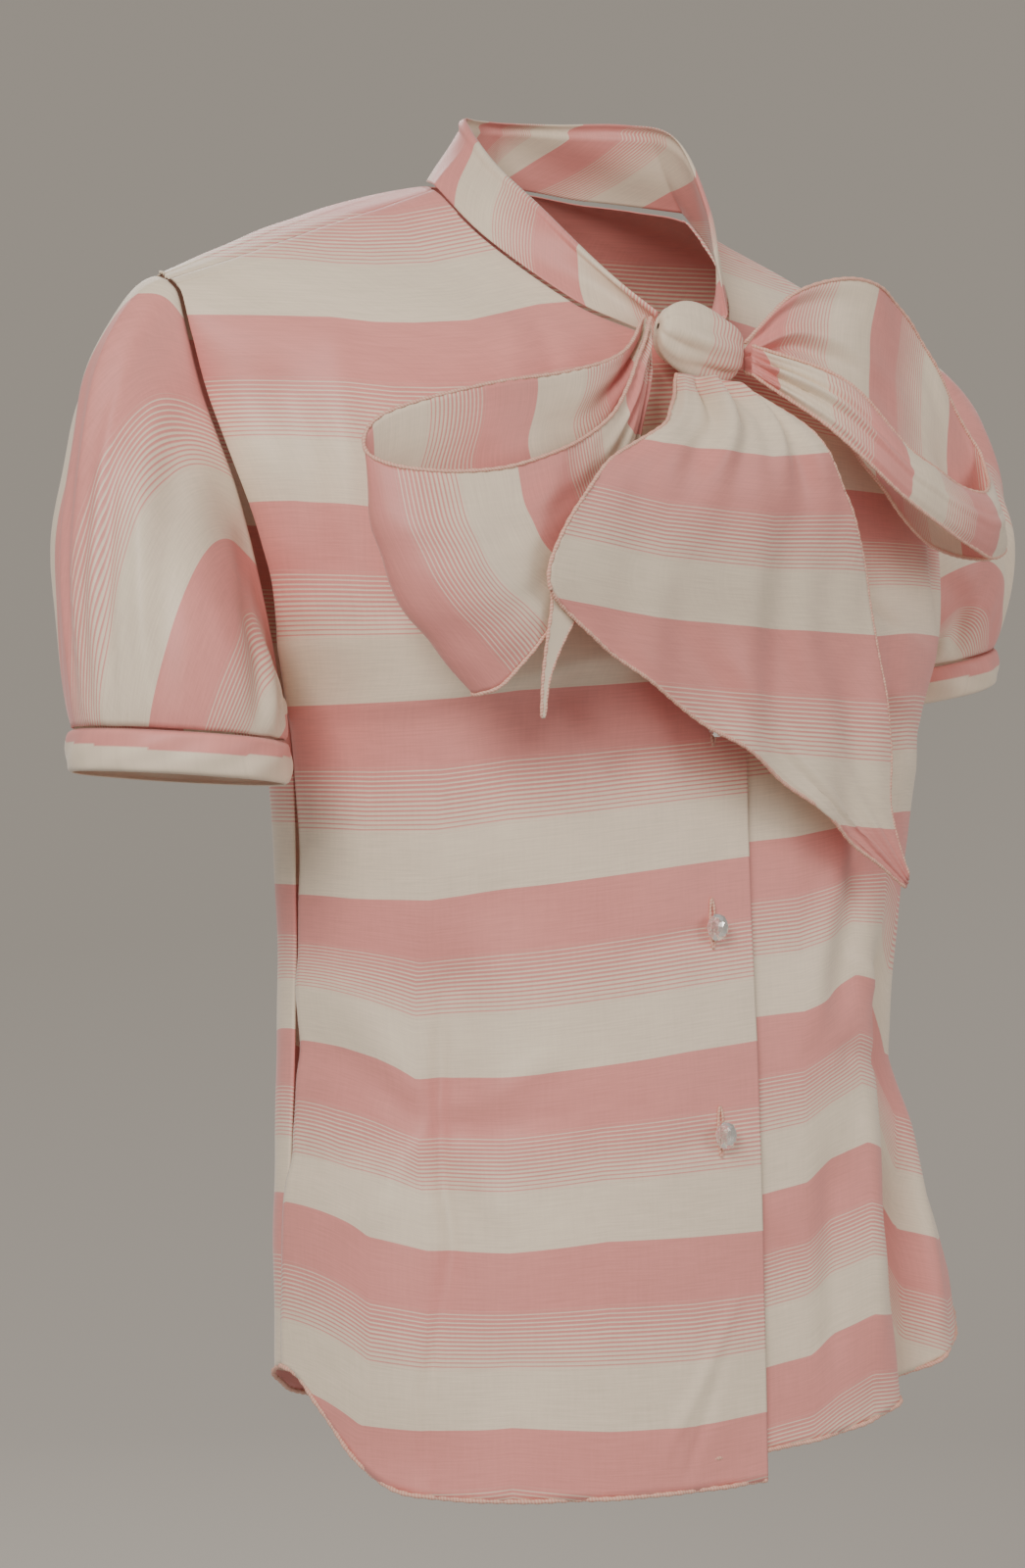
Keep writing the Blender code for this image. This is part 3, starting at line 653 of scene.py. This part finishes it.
def edge_roll(name, line, radius, wobble=0.0):
    """A thin roll of stitches: a circle carried along a line, its centre wobbling a little."""
    ahead = np.gradient(line, axis=0)
    ahead /= np.maximum(np.linalg.norm(ahead, axis=1, keepdims=True), 1e-9)
    upright = np.where(np.abs(ahead[:, 2:3]) > 0.8, [[0.0, -1.0, 0.0]], [[0.0, 0.0, 1.0]])
    side = np.cross(ahead, upright)
    side /= np.maximum(np.linalg.norm(side, axis=1, keepdims=True), 1e-9)
    over = np.cross(side, ahead)
    length = np.concatenate([[0], np.cumsum(np.linalg.norm(np.diff(line, axis=0), axis=1))])
    wave = wobble * (np.sin(length / 0.0046) + 0.6 * np.sin(length / 0.0071 + 1))
    centre = line + side * wave[:, None]
    turn = np.linspace(0, 2 * pi, 9)
    ring = side[:, None] * np.cos(turn)[:, None] + over[:, None] * np.sin(turn)[:, None]
    thick = radius * (1 + 0.15 * np.sin(length / 0.0009))
    thick[0] = thick[-1] = 0.00005
    grid = centre[:, None] + ring * thick[:, None, None]
    uv = np.stack([length[:, None] + 0 * turn, turn[None] / (2 * pi) + 0 * length[:, None]], axis=-1)
    obj = grid_mesh(name, grid, uv, flip=True, weld=True)
    obj.data.materials.append(thread_finish)
    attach(obj, "root")
    return obj


def evenly(line, count):
    """This many points on a line, at equal steps of its length."""
    length = np.concatenate([[0], np.cumsum(np.linalg.norm(np.diff(line, axis=0), axis=1))])
    at = np.linspace(0, length[-1], count)
    return np.stack([np.interp(at, length, line[:, k]) for k in range(3)], axis=-1)


# %% [markdown]
# ## Fronts
# The right front laps over the left one and both end in an overlocked hem. The left one
# steps in behind the lap, so that the two never touch.

# %% Front sheets
def front_form(side, places, across):
    """A front on its wall's outer face, without its fine folds."""
    rows = FRONT_LEFT if side > 0 else FRONT
    grid = half_panel(rows, side, places, across, -SEAM_GAP)
    grid[..., 1] -= SHOULDER_GAP * (places[:, None] > len(rows) - 1.5)
    under = np.clip((LAP + LAP_SPARE + LAP_RETURN - grid[..., 0]) / LAP_RETURN, 0, 1)
    grid = folded(swayed(grid), FRONT_FOLDS, side)
    if side > 0:
        grid[..., 1] += LAP_STEP * under * under * (3 - 2 * under)
    return grid


def front_sheet(side, places, across):
    """A front with its fine folds and uneven places, and its seams turned in."""
    grid = front_form(side, places, across)
    fine = fold_depth(grid, FINE_FOLDS)
    fine += unevenness(grid[..., 0], grid[..., 2], 4 + side, 0.09, 0.03, 0.0005)
    hold = np.clip((across[None] - 0.02) / 0.12, 0, 1)
    still = hold if side > 0 else 0.35 + 0.65 * hold
    grid = grid + side * normals(grid) * (fine * still)[..., None]
    seam = np.minimum(1 - across[None] + 0 * places[:, None], (len(FRONT) - 1 - places[:, None]) * 0.05)
    return turned_in(grid, seam, side)


PANEL_ROWS = 230
panel_places = np.linspace(0, len(FRONT) - 1, PANEL_ROWS)
panel_across = fine_across(112)
sheets = {}
for name, side, at, bands in (("right", -1, RIGHT_AT, RIGHT_BANDS), ("left", 1, LEFT_AT, LEFT_BANDS)):
    grid = front_sheet(side, panel_places, panel_across)
    uv = np.stack([steps_along(grid, 1), stripe_place(grid[..., 0], grid[..., 2], at, bands)], axis=-1)
    line = evenly(grid[0] - normals(grid)[0] * side * HEM_INSET, HEM_POINTS)
    hem = edge_roll("hem_front_" + name, line, HEM_RADIUS, HEM_WOBBLE)
    sheets["front_" + name] = grid
    cloth_sheet("cloth_front_" + name, grid, uv, "front_" + name, body_cloth, flip=side < 0)

# %% [markdown]
# ## Back
# The back isn't in the picture, so it is finished as the front is: one wide panel with two
# waist darts and the same bands, which meet the fronts' bands at the side seams.

# %% Back sheet
BACK_AT = (-0.165, -0.085, 0.0, 0.085, 0.165)
BACK_BANDS = [
    (0.012, 0.013, 0.014, 0.013, 0.012),
    (-0.066, -0.064, -0.063, -0.064, -0.066),
    (-0.1435, -0.142, -0.141, -0.141, -0.140),
    (-0.2250, -0.222, -0.220, -0.219, -0.218),
    (-0.2980, -0.302, -0.298, -0.300, -0.295),
    (-0.3500, -0.378, -0.372, -0.379, -0.385),
    (-0.4210, -0.446, -0.446, -0.450, -0.460),
    (-0.4980, -0.520, -0.524, -0.528, -0.538),
]


def back_half(places, across):
    """The left half of the back: columns from the centre line to the side seam."""
    left = half_panel(BACK, 1, places, across, SEAM_GAP)
    left[..., 1] += SHOULDER_GAP * (places[:, None] > len(BACK) - 1.5)
    return left


def back_sheet(places, across, side):
    """One half of the back, folded, with its outer seams turned in."""
    half = back_half(places, across)
    half = half[:, ::-1] * [-1, 1, 1] if side < 0 else half
    grid = folded(swayed(half), BACK_FOLDS, -1)
    fine = fold_depth(grid, FINE_BACK_FOLDS)
    fine += unevenness(grid[..., 0], grid[..., 2], 11, 0.09, 0.03, 0.0005)
    out = across[::-1] if side < 0 else across
    grid = grid - normals(grid) * (fine * np.clip(out[None] / 0.08, 0, 1))[..., None]
    seam = np.minimum(1 - out[None] + 0 * places[:, None], (len(BACK) - 1 - places[:, None]) * 0.05)
    return turned_in(grid, seam, -1)


back_places = np.linspace(0, len(BACK) - 1, PANEL_ROWS)
back_across = np.concatenate([np.linspace(0, 0.988, 78), [0.991, 0.994, 0.997, 1]])
halves = [back_sheet(back_places, back_across, side) for side in (-1, 1)]
joined = halves[1][:, 0, 0] < 0.002
middle = (halves[0][:, -1] + halves[1][:, 0]) / 2
halves[0][joined, -1] = middle[joined]
halves[1][joined, 0] = middle[joined]
for name, grid in (("right", halves[0]), ("left", halves[1])):
    stripe = stripe_place(grid[..., 0], grid[..., 2], BACK_AT, BACK_BANDS)
    uv = np.stack([steps_along(grid, 1), stripe], axis=-1)
    line = evenly(grid[0] + normals(grid)[0] * HEM_INSET, HEM_POINTS)
    hem = edge_roll("hem_back_" + name, line, HEM_RADIUS, HEM_WOBBLE)
    cloth_sheet("cloth_back_" + name, grid, uv, "back", body_cloth, flip=True)

# %% [markdown]
# ## Sleeves
# A puffed sleeve is a tube with too much cloth for its armhole and its cuff. Each line from
# the armhole to the cuff is a cubic Bezier curve, whose second handle comes down on the cuff
# from outside, so that the puff hangs over the cuff. Gathers ripple more towards the cuff.
# The stripes run along the sleeve and fan out from the armhole.

# %% Sleeve form
Sleeve = namedtuple("Sleeve", "side x y z half_width half_depth cap_out puff swell tilt")
SLEEVES = {
    "right": Sleeve(-1, -0.209, -0.014, -0.234, 0.043, 0.046, 0.038, 0.013, 0.082, 0.006),
    "left": Sleeve(1, 0.234, 0.030, -0.188, 0.041, 0.043, 0.068, 0.017, 0.060, 0.017),
}
SLEEVE_FOLDS = 9
SLEEVE_FOLD_DEPTH = 0.0022


def armhole(side, count):
    """The armhole's seam line as a ring: from the shoulder down the front and up the back."""
    outer_end = np.array([1.0])
    down = np.linspace(len(FRONT) - 1, UNDERARM_ROW, 60)
    up = np.linspace(UNDERARM_ROW, len(BACK) - 1, 60)
    front = half_panel(FRONT, side, down, outer_end, 0)[:, 0]
    back = half_panel(BACK, side, up, outer_end, 0)[:, 0]
    return evenly(swayed(np.concatenate([front, back[1:]])[None])[0], count + 1)


def sleeve_ends(sleeve, turn):
    """The ring where the sleeve meets its cuff, lower on its inner side."""
    inner = (1 - np.cos(turn)) / 2
    x = sleeve.x + sleeve.side * sleeve.half_width * np.cos(turn)
    y = sleeve.y - sleeve.half_depth * np.sin(turn)
    return np.stack([x, y, sleeve.z - sleeve.tilt * inner], axis=-1)


def sleeve_form(sleeve, around, down):
    """Bezier lines from the armhole to the cuff, then ripples and gathers along the radius."""
    turn = np.linspace(0, 2 * pi, around + 1)
    start = armhole(sleeve.side, around)
    end = sleeve_ends(sleeve, turn)
    outer = (1 + np.cos(turn)) / 2
    leading = np.stack(
        [sleeve.side * (0.8 + 0.2 * outer), -0.15 * np.sin(turn), -0.35 + 0.1 * outer], axis=-1
    )
    radial = np.stack([sleeve.side * np.cos(turn), -np.sin(turn), 0 * turn], axis=-1)
    handle_a = start + leading * sleeve.cap_out * (0.25 + 0.75 * outer[:, None])
    lift = sleeve.swell * (0.12 + 0.88 * outer)
    puff = sleeve.puff * (0.1 + 0.9 * outer[:, None])
    handle_b = end + radial * puff + np.stack([0 * turn, 0 * turn, lift], axis=-1)
    start = start + leading * 2.8 * SEAM_GAP
    t = np.linspace(0, 1, down + 1)[:, None, None]
    grid = (1 - t) ** 3 * start + 3 * t * (1 - t) ** 2 * handle_a
    grid = grid + 3 * t**2 * (1 - t) * handle_b + t**3 * end
    t = t[:, :, 0]
    ripple = SLEEVE_FOLD_DEPTH * np.cos(SLEEVE_FOLDS * turn) * np.sin(pi * t) * t
    low = np.sin(pi * t**1.6) * t**1.5
    high = np.sin(pi * t) * (1 - t) ** 2
    uneven = 0.6 + 0.4 * np.sin(3 * turn + 1.3)
    ripple = ripple + (0.0016 * low * np.cos(23 * turn + 2 * np.sin(2 * turn)) * uneven)
    ripple = ripple + (0.0014 * low * np.cos(14 * turn + 3 * t + 1.1))
    ripple = ripple + (0.0020 * high * np.cos(17 * turn + 1.4 * np.sin(3 * turn)) * outer)
    ripple = ripple + unevenness(turn * 0.055, t * 0.17, 21, 0.10, 0.035, 0.0013) * np.sin(pi * t)
    return grid + radial * ripple[..., None]


# %% Sleeve sheets
Line = namedtuple("Line", "turn cloth")
CAP_LINES = [
    Line(-0.50, -0.130), Line(-0.43, -0.110), Line(-0.30, -0.084), Line(-0.14, -0.040),
    Line(0.0, -0.006), Line(0.05, 0.000), Line(0.14, 0.026), Line(0.215, 0.052),
    Line(0.30, 0.078), Line(0.43, 0.104), Line(0.50, 0.122),
]
SLEEVE_AROUND = 220
SLEEVE_DOWN = 84
CUFF_SHIFT = 0.12
CUFF_CLOTH_TURN = 0.334


def sleeve_cloth(turn_share, t):
    """The stripe distance: the cap's own table blends into an even spread at the cuff."""
    table = np.array(CAP_LINES)
    at_cap = np.interp(turn_share, table[:, 0], table[:, 1])
    at_cuff = (turn_share + CUFF_SHIFT) * CUFF_CLOTH_TURN
    return at_cap + (at_cuff - at_cap) * t


for name, sleeve in SLEEVES.items():
    grid = sleeve_form(sleeve, SLEEVE_AROUND, SLEEVE_DOWN)
    grid = np.roll(grid[:, :-1], SLEEVE_AROUND // 2, axis=1)
    grid = np.concatenate([grid, grid[:, :1]], axis=1)
    share = np.linspace(-0.5, 0.5, SLEEVE_AROUND + 1)[None]
    t = np.linspace(0, 1, SLEEVE_DOWN + 1)[:, None]
    grid = turned_in(grid, np.minimum(t, 1 - t) * 0.25 + 0 * share, sleeve.side, 0.0008)
    uv = np.stack([steps_along(grid, 0), sleeve_cloth(share, t)], axis=-1)
    node = "sleeve_" + name
    cloth_sheet("cloth_" + node, grid, uv, node, body_cloth, sleeve.side < 0, weld=True)

# %% [markdown]
# ## Cuffs
# Each sleeve ends in a narrow band that is turned up, pink above and cream below, and the
# puff hangs over it. The band bulges a little between its two folded edges.

# %% Cuff sheets
CUFF_HEIGHT = 0.017


def cuff_form(sleeve, around, down):
    """A ring under the sleeve's end: its wall bows out as sin(pi t) and both edges turn in."""
    turn = np.linspace(0, 2 * pi, around + 1)
    top = sleeve_ends(sleeve, turn)
    radial = np.stack([sleeve.side * np.cos(turn), -np.sin(turn), 0 * turn], axis=-1)
    t = np.linspace(0, 1, down + 1)[:, None]
    drop = np.array([0.0, 0.0, -1.0]) * (SEAM_GAP * 2 + CUFF_HEIGHT * t[..., None])
    wrinkle = 0.0006 * np.sin(9 * turn + 5 * t) * np.sin(pi * t) + 0.0005 * np.sin(5 * turn)
    edges = -0.0014 * (np.clip(1 - t / 0.1, 0, 1) ** 2 + np.clip(1 - (1 - t) / 0.1, 0, 1) ** 2)
    bow = 0.0006 + 0.0012 * np.sin(pi * t) + wrinkle + edges
    return top + drop + radial * bow[..., None]


for name, sleeve in SLEEVES.items():
    grid = cuff_form(sleeve, 160, 18)
    t = np.linspace(0, 1, 19)[:, None]
    slant = 0.30 + 0.16 * np.sin(np.linspace(0, 2 * pi, 161) + 0.4)[None]
    stripe = np.where(t < slant, REPEAT / 6, REPEAT * 5 / 6)
    uv = np.stack([steps_along(grid, 1), stripe], axis=-1)
    node = "cuff_" + name
    cloth_sheet("cloth_" + node, grid, uv, node, body_cloth, sleeve.side < 0, weld=True)

# %% [markdown]
# ## Collar
# The collar is the middle of the long tie: a soft band that stands on the neck seam. Its
# bands of colour run across it, because the tie is cut along the stripes' repeat.

# %% Collar sheet
Top = namedtuple("Top", "name x y z")
COLLAR_TOP = [
    Top("right throat", -0.0200, -0.0887, -0.0592),
    Top("right front", -0.034, -0.061, -0.034),
    Top("right neck", -0.043, -0.036, -0.010),
    Top("right side", -0.048, -0.010, 0.012),
    Top("right side back", -0.042, 0.017, 0.033),
    Top("right back", -0.019, 0.039, 0.039),
    Top("nape", 0.000, 0.044, 0.041),
    Top("left back", 0.024, 0.037, 0.042),
    Top("left side back", 0.046, 0.016, 0.041),
    Top("left side", 0.053, -0.010, 0.032),
    Top("left neck", 0.049, -0.037, -0.001),
    Top("left front", 0.034, -0.062, -0.030),
    Top("left throat", 0.0180, -0.0875, -0.0564),
]
THROAT_ROW = 7
NAPE_ROW = 9
COLLAR_LIFT = 0.05


def neckline(count):
    """The neck seam: from the throat over the right shoulder, the nape and the left shoulder."""
    inner_end = np.array([0.0])
    up = np.linspace(THROAT_ROW, len(FRONT) - 1, 40)
    down = np.linspace(len(BACK) - 1, NAPE_ROW, 40)
    front = half_panel(FRONT, -1, up, inner_end, 0)[:, 0]
    back = half_panel(BACK, -1, down, inner_end, 0)[:, 0]
    right = np.concatenate([front, back[1:]])
    left = right[-2::-1] * [-1, 1, 1]
    return evenly(swayed(np.concatenate([right, left])[None])[0], count)


def collar_form(count, up):
    """The stand: straight lines from the neck seam to the upper edge, with soft creases."""
    edge = along(COLLAR_TOP, np.linspace(0, len(COLLAR_TOP) - 1, count))
    top = np.concatenate([edge["x"], edge["y"], edge["z"]], axis=1)
    low = neckline(count)
    w = np.linspace(COLLAR_LIFT, 1, up)[:, None]
    grid = low + (top - low) * w[..., None]
    run = np.linspace(0, 1, count)[None]
    crease = 0.0010 * np.sin(pi * w) * np.sin(34 * run + 3 * w) + 0.0007 * np.sin(2 * pi * w + 20 * run)
    roll = 0.0016 * np.sin(pi * np.clip((w - 0.85) / 0.15, 0, 1))
    return grid - normals(grid) * (crease + roll)[..., None]


grid = collar_form(320, 30)
run = steps_along(grid, 1)
late = np.clip((run - 0.15) / 0.10, 0, 1)
uv = np.stack([steps_along(grid, 0), run + 0.030 + 0.05 * late * late * (3 - 2 * late)], axis=-1)
cloth_sheet("cloth_collar", grid, uv, "collar", tie_cloth)

# %% [markdown]
# ## Bow
# The loops and the tails are strips between two long edges. Rows of points give both edges,
# smooth curves join them, and the middle bulges along its normal. Near the knot the cloth is
# gathered, so its folds are deepest there and fade as the strip opens.

# %% Strip form
Edge = namedtuple("Edge", "name x y z low_x low_y low_z bulge")
LOOP_RIGHT = [
    Edge("root behind", -0.0315, -0.0945, -0.062, -0.0315, -0.0945, -0.076, 0.000),
    Edge("behind near knot", -0.052, -0.105, -0.080, -0.050, -0.108, -0.118, 0.003),
    Edge("behind", -0.082, -0.109, -0.090, -0.072, -0.116, -0.165, 0.002),
    Edge("behind far", -0.128, -0.109, -0.099, -0.112, -0.118, -0.200, 0.002),
    Edge("turn behind", -0.168, -0.100, -0.112, -0.134, -0.115, -0.219, 0.010),
    Edge("turn", -0.178, -0.102, -0.127, -0.136, -0.123, -0.221, 0.014),
    Edge("front far", -0.162, -0.118, -0.135, -0.127, -0.129, -0.215, 0.009),
    Edge("front", -0.122, -0.129, -0.131, -0.102, -0.132, -0.186, 0.003),
    Edge("front near knot", -0.070, -0.121, -0.108, -0.063, -0.122, -0.142, 0.001),
    Edge("root front", -0.0315, -0.0985, -0.063, -0.0315, -0.0985, -0.077, 0.000),
]
LOOP_LEFT = [
    Edge("root behind", 0.0228, -0.0935, -0.070, 0.0228, -0.0935, -0.082, 0.000),
    Edge("behind near knot", 0.050, -0.098, -0.046, 0.048, -0.105, -0.092, 0.003),
    Edge("behind", 0.090, -0.097, -0.038, 0.082, -0.108, -0.122, 0.003),
    Edge("behind far", 0.130, -0.082, -0.052, 0.122, -0.100, -0.150, 0.003),
    Edge("turn behind", 0.166, -0.074, -0.088, 0.170, -0.086, -0.156, 0.003),
    Edge("turn", 0.180, -0.078, -0.112, 0.188, -0.082, -0.150, 0.003),
    Edge("front far", 0.150, -0.106, -0.128, 0.152, -0.108, -0.156, 0.005),
    Edge("front", 0.094, -0.124, -0.115, 0.088, -0.127, -0.136, 0.003),
    Edge("front near knot", 0.055, -0.122, -0.086, 0.046, -0.125, -0.108, 0.002),
    Edge("root front", 0.0228, -0.0985, -0.071, 0.0228, -0.0985, -0.083, 0.000),
]
TAIL_FRONT = [
    Edge("root", -0.0200, -0.1010, -0.0862, 0.0130, -0.1010, -0.0882, 0.000),
    Edge("gathered", -0.050, -0.131, -0.110, 0.028, -0.130, -0.110, 0.003),
    Edge("shoulder", -0.092, -0.143, -0.132, 0.048, -0.130, -0.136, 0.005),
    Edge("corner", -0.117, -0.141, -0.172, 0.066, -0.123, -0.164, 0.005),
    Edge("below corner", -0.101, -0.137, -0.192, 0.077, -0.117, -0.196, 0.004),
    Edge("middle", -0.051, -0.132, -0.221, 0.087, -0.114, -0.236, 0.003),
    Edge("low", 0.008, -0.127, -0.250, 0.090, -0.112, -0.268, 0.001),
    Edge("tip", 0.100, -0.111, -0.302, 0.102, -0.111, -0.297, 0.000),
]
TAIL_BACK = [
    Edge("root", -0.016, -0.0980, -0.0890, 0.002, -0.0980, -0.0896, 0.000),
    Edge("gathered", -0.048, -0.1265, -0.112, -0.026, -0.1255, -0.112, 0.000),
    Edge("behind", -0.086, -0.1375, -0.140, -0.060, -0.1355, -0.142, 0.000),
    Edge("corner", -0.110, -0.1370, -0.170, -0.084, -0.1345, -0.172, 0.000),
    Edge("below corner", -0.1125, -0.1355, -0.190, -0.1010, -0.1340, -0.194, 0.000),
    Edge("thread", -0.1135, -0.1320, -0.213, -0.1100, -0.1320, -0.214, 0.000),
    Edge("end", -0.1130, -0.1300, -0.231, -0.1115, -0.1300, -0.231, 0.000),
]


def strip_form(rows, steps, across, side):
    """A strip between two edges, bulged along its normal as sin(pi w) times the bulge."""
    r = along(rows, np.linspace(0, len(rows) - 1, steps + 1))
    high = np.concatenate([r["x"], r["y"], r["z"]], axis=1)[:, None]
    low = np.concatenate([r["low_x"], r["low_y"], r["low_z"]], axis=1)[:, None]
    w = np.linspace(0, 1, across + 1)[None, :, None]
    grid = high + (low - high) * w
    return grid + side * normals(grid) * np.sin(pi * w) * r["bulge"][:, :, None]


def gathered(grid, roots, count, depth, reach, phase):
    """Lengthwise folds: cos of the way across, deepest at the roots, gone past their reach."""
    run = steps_along(grid, 0)
    total = run[-1:]
    near = np.exp(-((run / reach) ** 2)) if "start" in roots else 0
    near = near + (np.exp(-(((total - run) / reach) ** 2)) if "end" in roots else 0)
    start = np.clip(np.minimum(run, total - run if "end" in roots else run) / 0.012, 0, 1)
    w = np.linspace(0, 1, grid.shape[1])[None]
    folds = np.cos(2 * pi * count * w + phase) + 0.5 * np.cos(2 * pi * (count * 1.7) * w + 2.1 * phase)
    held = np.sin(pi * w) ** 0.5
    return grid + normals(grid) * (depth * folds * (0.12 + near) * start * held)[..., None]


# %% Loops
LOOP_STEPS = 300
LOOP_ACROSS = 44
TURN_EDGE = 5
for name, rows, side, turn_at in (("right", LOOP_RIGHT, 1, 1 / 6), ("left", LOOP_LEFT, -1, 0.5)):
    grid = strip_form(rows, LOOP_STEPS, LOOP_ACROSS, side)
    grid = gathered(grid, ("start", "end"), 3.0, 0.0022, 0.050, 0.9 + side)
    drape = unevenness(steps_along(grid, 0), steps_along(grid, 1), 31 + side, 0.06, 0.02, 0.0008)
    grid = grid + normals(grid) * drape[..., None]
    run = steps_along(grid, 0)
    turn_row = round(LOOP_STEPS * TURN_EDGE / (len(rows) - 1))
    stripe = run - run[turn_row][None] + REPEAT * turn_at
    uv = np.stack([steps_along(grid, 1), stripe], axis=-1)
    rolls = [
        edge_roll(f"loop_{name}_edge_{end}", evenly(grid[:, column], 420), 0.0008, 0.0001)
        for end, column in (("top", 0), ("bottom", -1))
    ]
    cloth_sheet("cloth_loop_" + name, grid, uv, "bow_loop_" + name, tie_cloth)

# %% Tails
grid = strip_form(TAIL_FRONT, 150, 96, -1)
grid = gathered(grid, ("start",), 3.5, 0.0040, 0.055, 0.4)
drape = unevenness(grid[..., 0] * 2.2, grid[..., 2] * 0.6, 44, 0.12, 0.05, 0.0016)
grid = grid + normals(grid) * (drape * np.clip(steps_along(grid, 0) / 0.05, 0, 1))[..., None]
uv = np.stack([steps_along(grid, 1), stripe_place(grid[..., 0], grid[..., 2], TAIL_AT, TAIL_BANDS)], axis=-1)
rolls = [
    edge_roll("tail_edge_left", evenly(grid[:, 0], 420), 0.0008, 0.0002),
    edge_roll("tail_edge_right", evenly(grid[:, -1], 300), 0.0008, 0.0002),
]
cloth_sheet("cloth_tail_front", grid, uv, "bow_tail_front", tie_cloth)

grid = strip_form(TAIL_BACK, 120, 16, -1)
uv = np.stack([steps_along(grid, 1), REPEAT * 0.85 + 0 * steps_along(grid, 0)], axis=-1)
rolls = [
    edge_roll("tail_back_edge", evenly(grid[:, 0], 260), 0.0007),
    edge_roll("tail_back_fold", evenly(grid[:, -1], 260), 0.0007),
]
cloth_sheet("cloth_tail_back", grid, uv, "bow_tail_back", tie_cloth)

# %% [markdown]
# ## Knot
# The knot is a short stretch of the tie wrapped once round the rest. Its surface is a
# superellipsoid, with folds that follow the wrap from the upper left to the lower right.

# %% Knot sheet
KNOT_CENTRE = np.array([-0.004, -0.0960, -0.0720])
KNOT_HALF = np.array([0.0225, 0.0082, 0.0138])
KNOT_TILT = 0.25


def knot_form(around, long):
    """x runs along the wrap; the section is an ellipse scaled by (1 - a^2.6)^(1/2.6)."""
    a = np.linspace(-0.999, 0.999, long)[:, None]
    turn = np.linspace(0, 2 * pi, around + 1)[None]
    size = (1 - np.abs(a) ** 2.6) ** (1 / 2.6)
    folds = 1 + 0.10 * np.cos(5 * turn + 1.2 * a + 0.5) * size + 0.05 * np.cos(9 * turn - 2 * a)
    x = KNOT_HALF[0] * a + 0 * turn
    y = -KNOT_HALF[1] * size * np.cos(turn) * folds
    z = KNOT_HALF[2] * size * np.sin(turn) * folds
    c, s = np.cos(KNOT_TILT), np.sin(KNOT_TILT)
    return KNOT_CENTRE + np.stack([x * c + z * s, y, z * c - x * s], axis=-1)


grid = knot_form(120, 60)
a = np.linspace(-1, 1, 60)[:, None] + 0 * grid[..., 0]
uv = np.stack([steps_along(grid, 1), REPEAT * (0.66 - 0.26 * a)], axis=-1)
cloth_sheet("cloth_knot", grid, uv, "bow_knot", tie_cloth, weld=True)

# %% [markdown]
# ## Buttons and buttonholes
# The buttons are cut crystal on a shank: a profile of flats, turned in ten steps and shaded
# flat, so each facet catches the light on its own. Each stands in an upright buttonhole,
# whose edge is a bead of pale thread.

# %% Crystal buttons
BUTTON_RADIUS = 0.0058
BUTTON_DEPTH = 0.0060
BUTTON_CORNERS = 10
Cut = namedtuple("Cut", "out high")
CUTS = [
    Cut(0.0, 1.0), Cut(0.42, 0.97), Cut(0.70, 0.84), Cut(0.95, 0.58), Cut(1.0, 0.47),
    Cut(0.86, 0.34), Cut(0.55, 0.27), Cut(0.30, 0.24), Cut(0.27, 0.0), Cut(0.0, 0.0),
]


def cut_crystal(name, node):
    """Rings of corners, every second ring turned by half a step, closed at both ends."""
    low, high = (np.array(corner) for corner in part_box(node))
    centre = (low + high) / 2
    cuts = np.array(CUTS)[:, :, None]
    out = cuts[:, 0] * BUTTON_RADIUS
    front = high[1] - cuts[:, 1] * BUTTON_DEPTH
    half = 0.5 * (np.arange(len(CUTS)) % 2)[:, None]
    steps = 2 * pi * (np.arange(BUTTON_CORNERS + 1)[None] + half) / BUTTON_CORNERS
    x = centre[0] + out * np.cos(steps)
    z = centre[2] + out * np.sin(steps)
    grid = np.stack([x, front + 0 * steps, z], axis=-1)
    obj = grid_mesh(name, grid, steps[..., None].repeat(2, axis=-1), weld=True)
    obj.data.shade_flat()
    obj.data.materials.append(crystal_finish)
    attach(obj, "root")
    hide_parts(node)
    return centre


seats = [cut_crystal(f"crystal_{number}", f"button_{number}") for number in range(1, 5)]
print("buttons at heights", [round(float(seat[2]), 3) for seat in seats])

# %% Buttonholes
HOLE_HALF_WIDTH = 0.0012
HOLE_HALF_HEIGHT = 0.0105
HOLE_RISE = 0.0015
front_grid = sheets["front_right"]
for number, centre in enumerate(seats, 1):
    around = np.linspace(0, 2 * pi, 120)
    x = centre[0] + HOLE_HALF_WIDTH * np.cos(around)
    z = centre[2] + HOLE_RISE + HOLE_HALF_HEIGHT * np.sin(around)
    off_x = np.abs(front_grid[None, ..., 0] - x[::8, None, None])
    off_z = np.abs(front_grid[None, ..., 2] - z[::8, None, None])
    near = off_x + off_z
    y = front_grid[..., 1].ravel()[near.reshape(len(near), -1).argmin(axis=1)]
    y = np.interp(around, around[::8], y) - 0.0003
    edge_roll(f"buttonhole_{number}", np.stack([x, y, z], axis=-1), 0.0006)
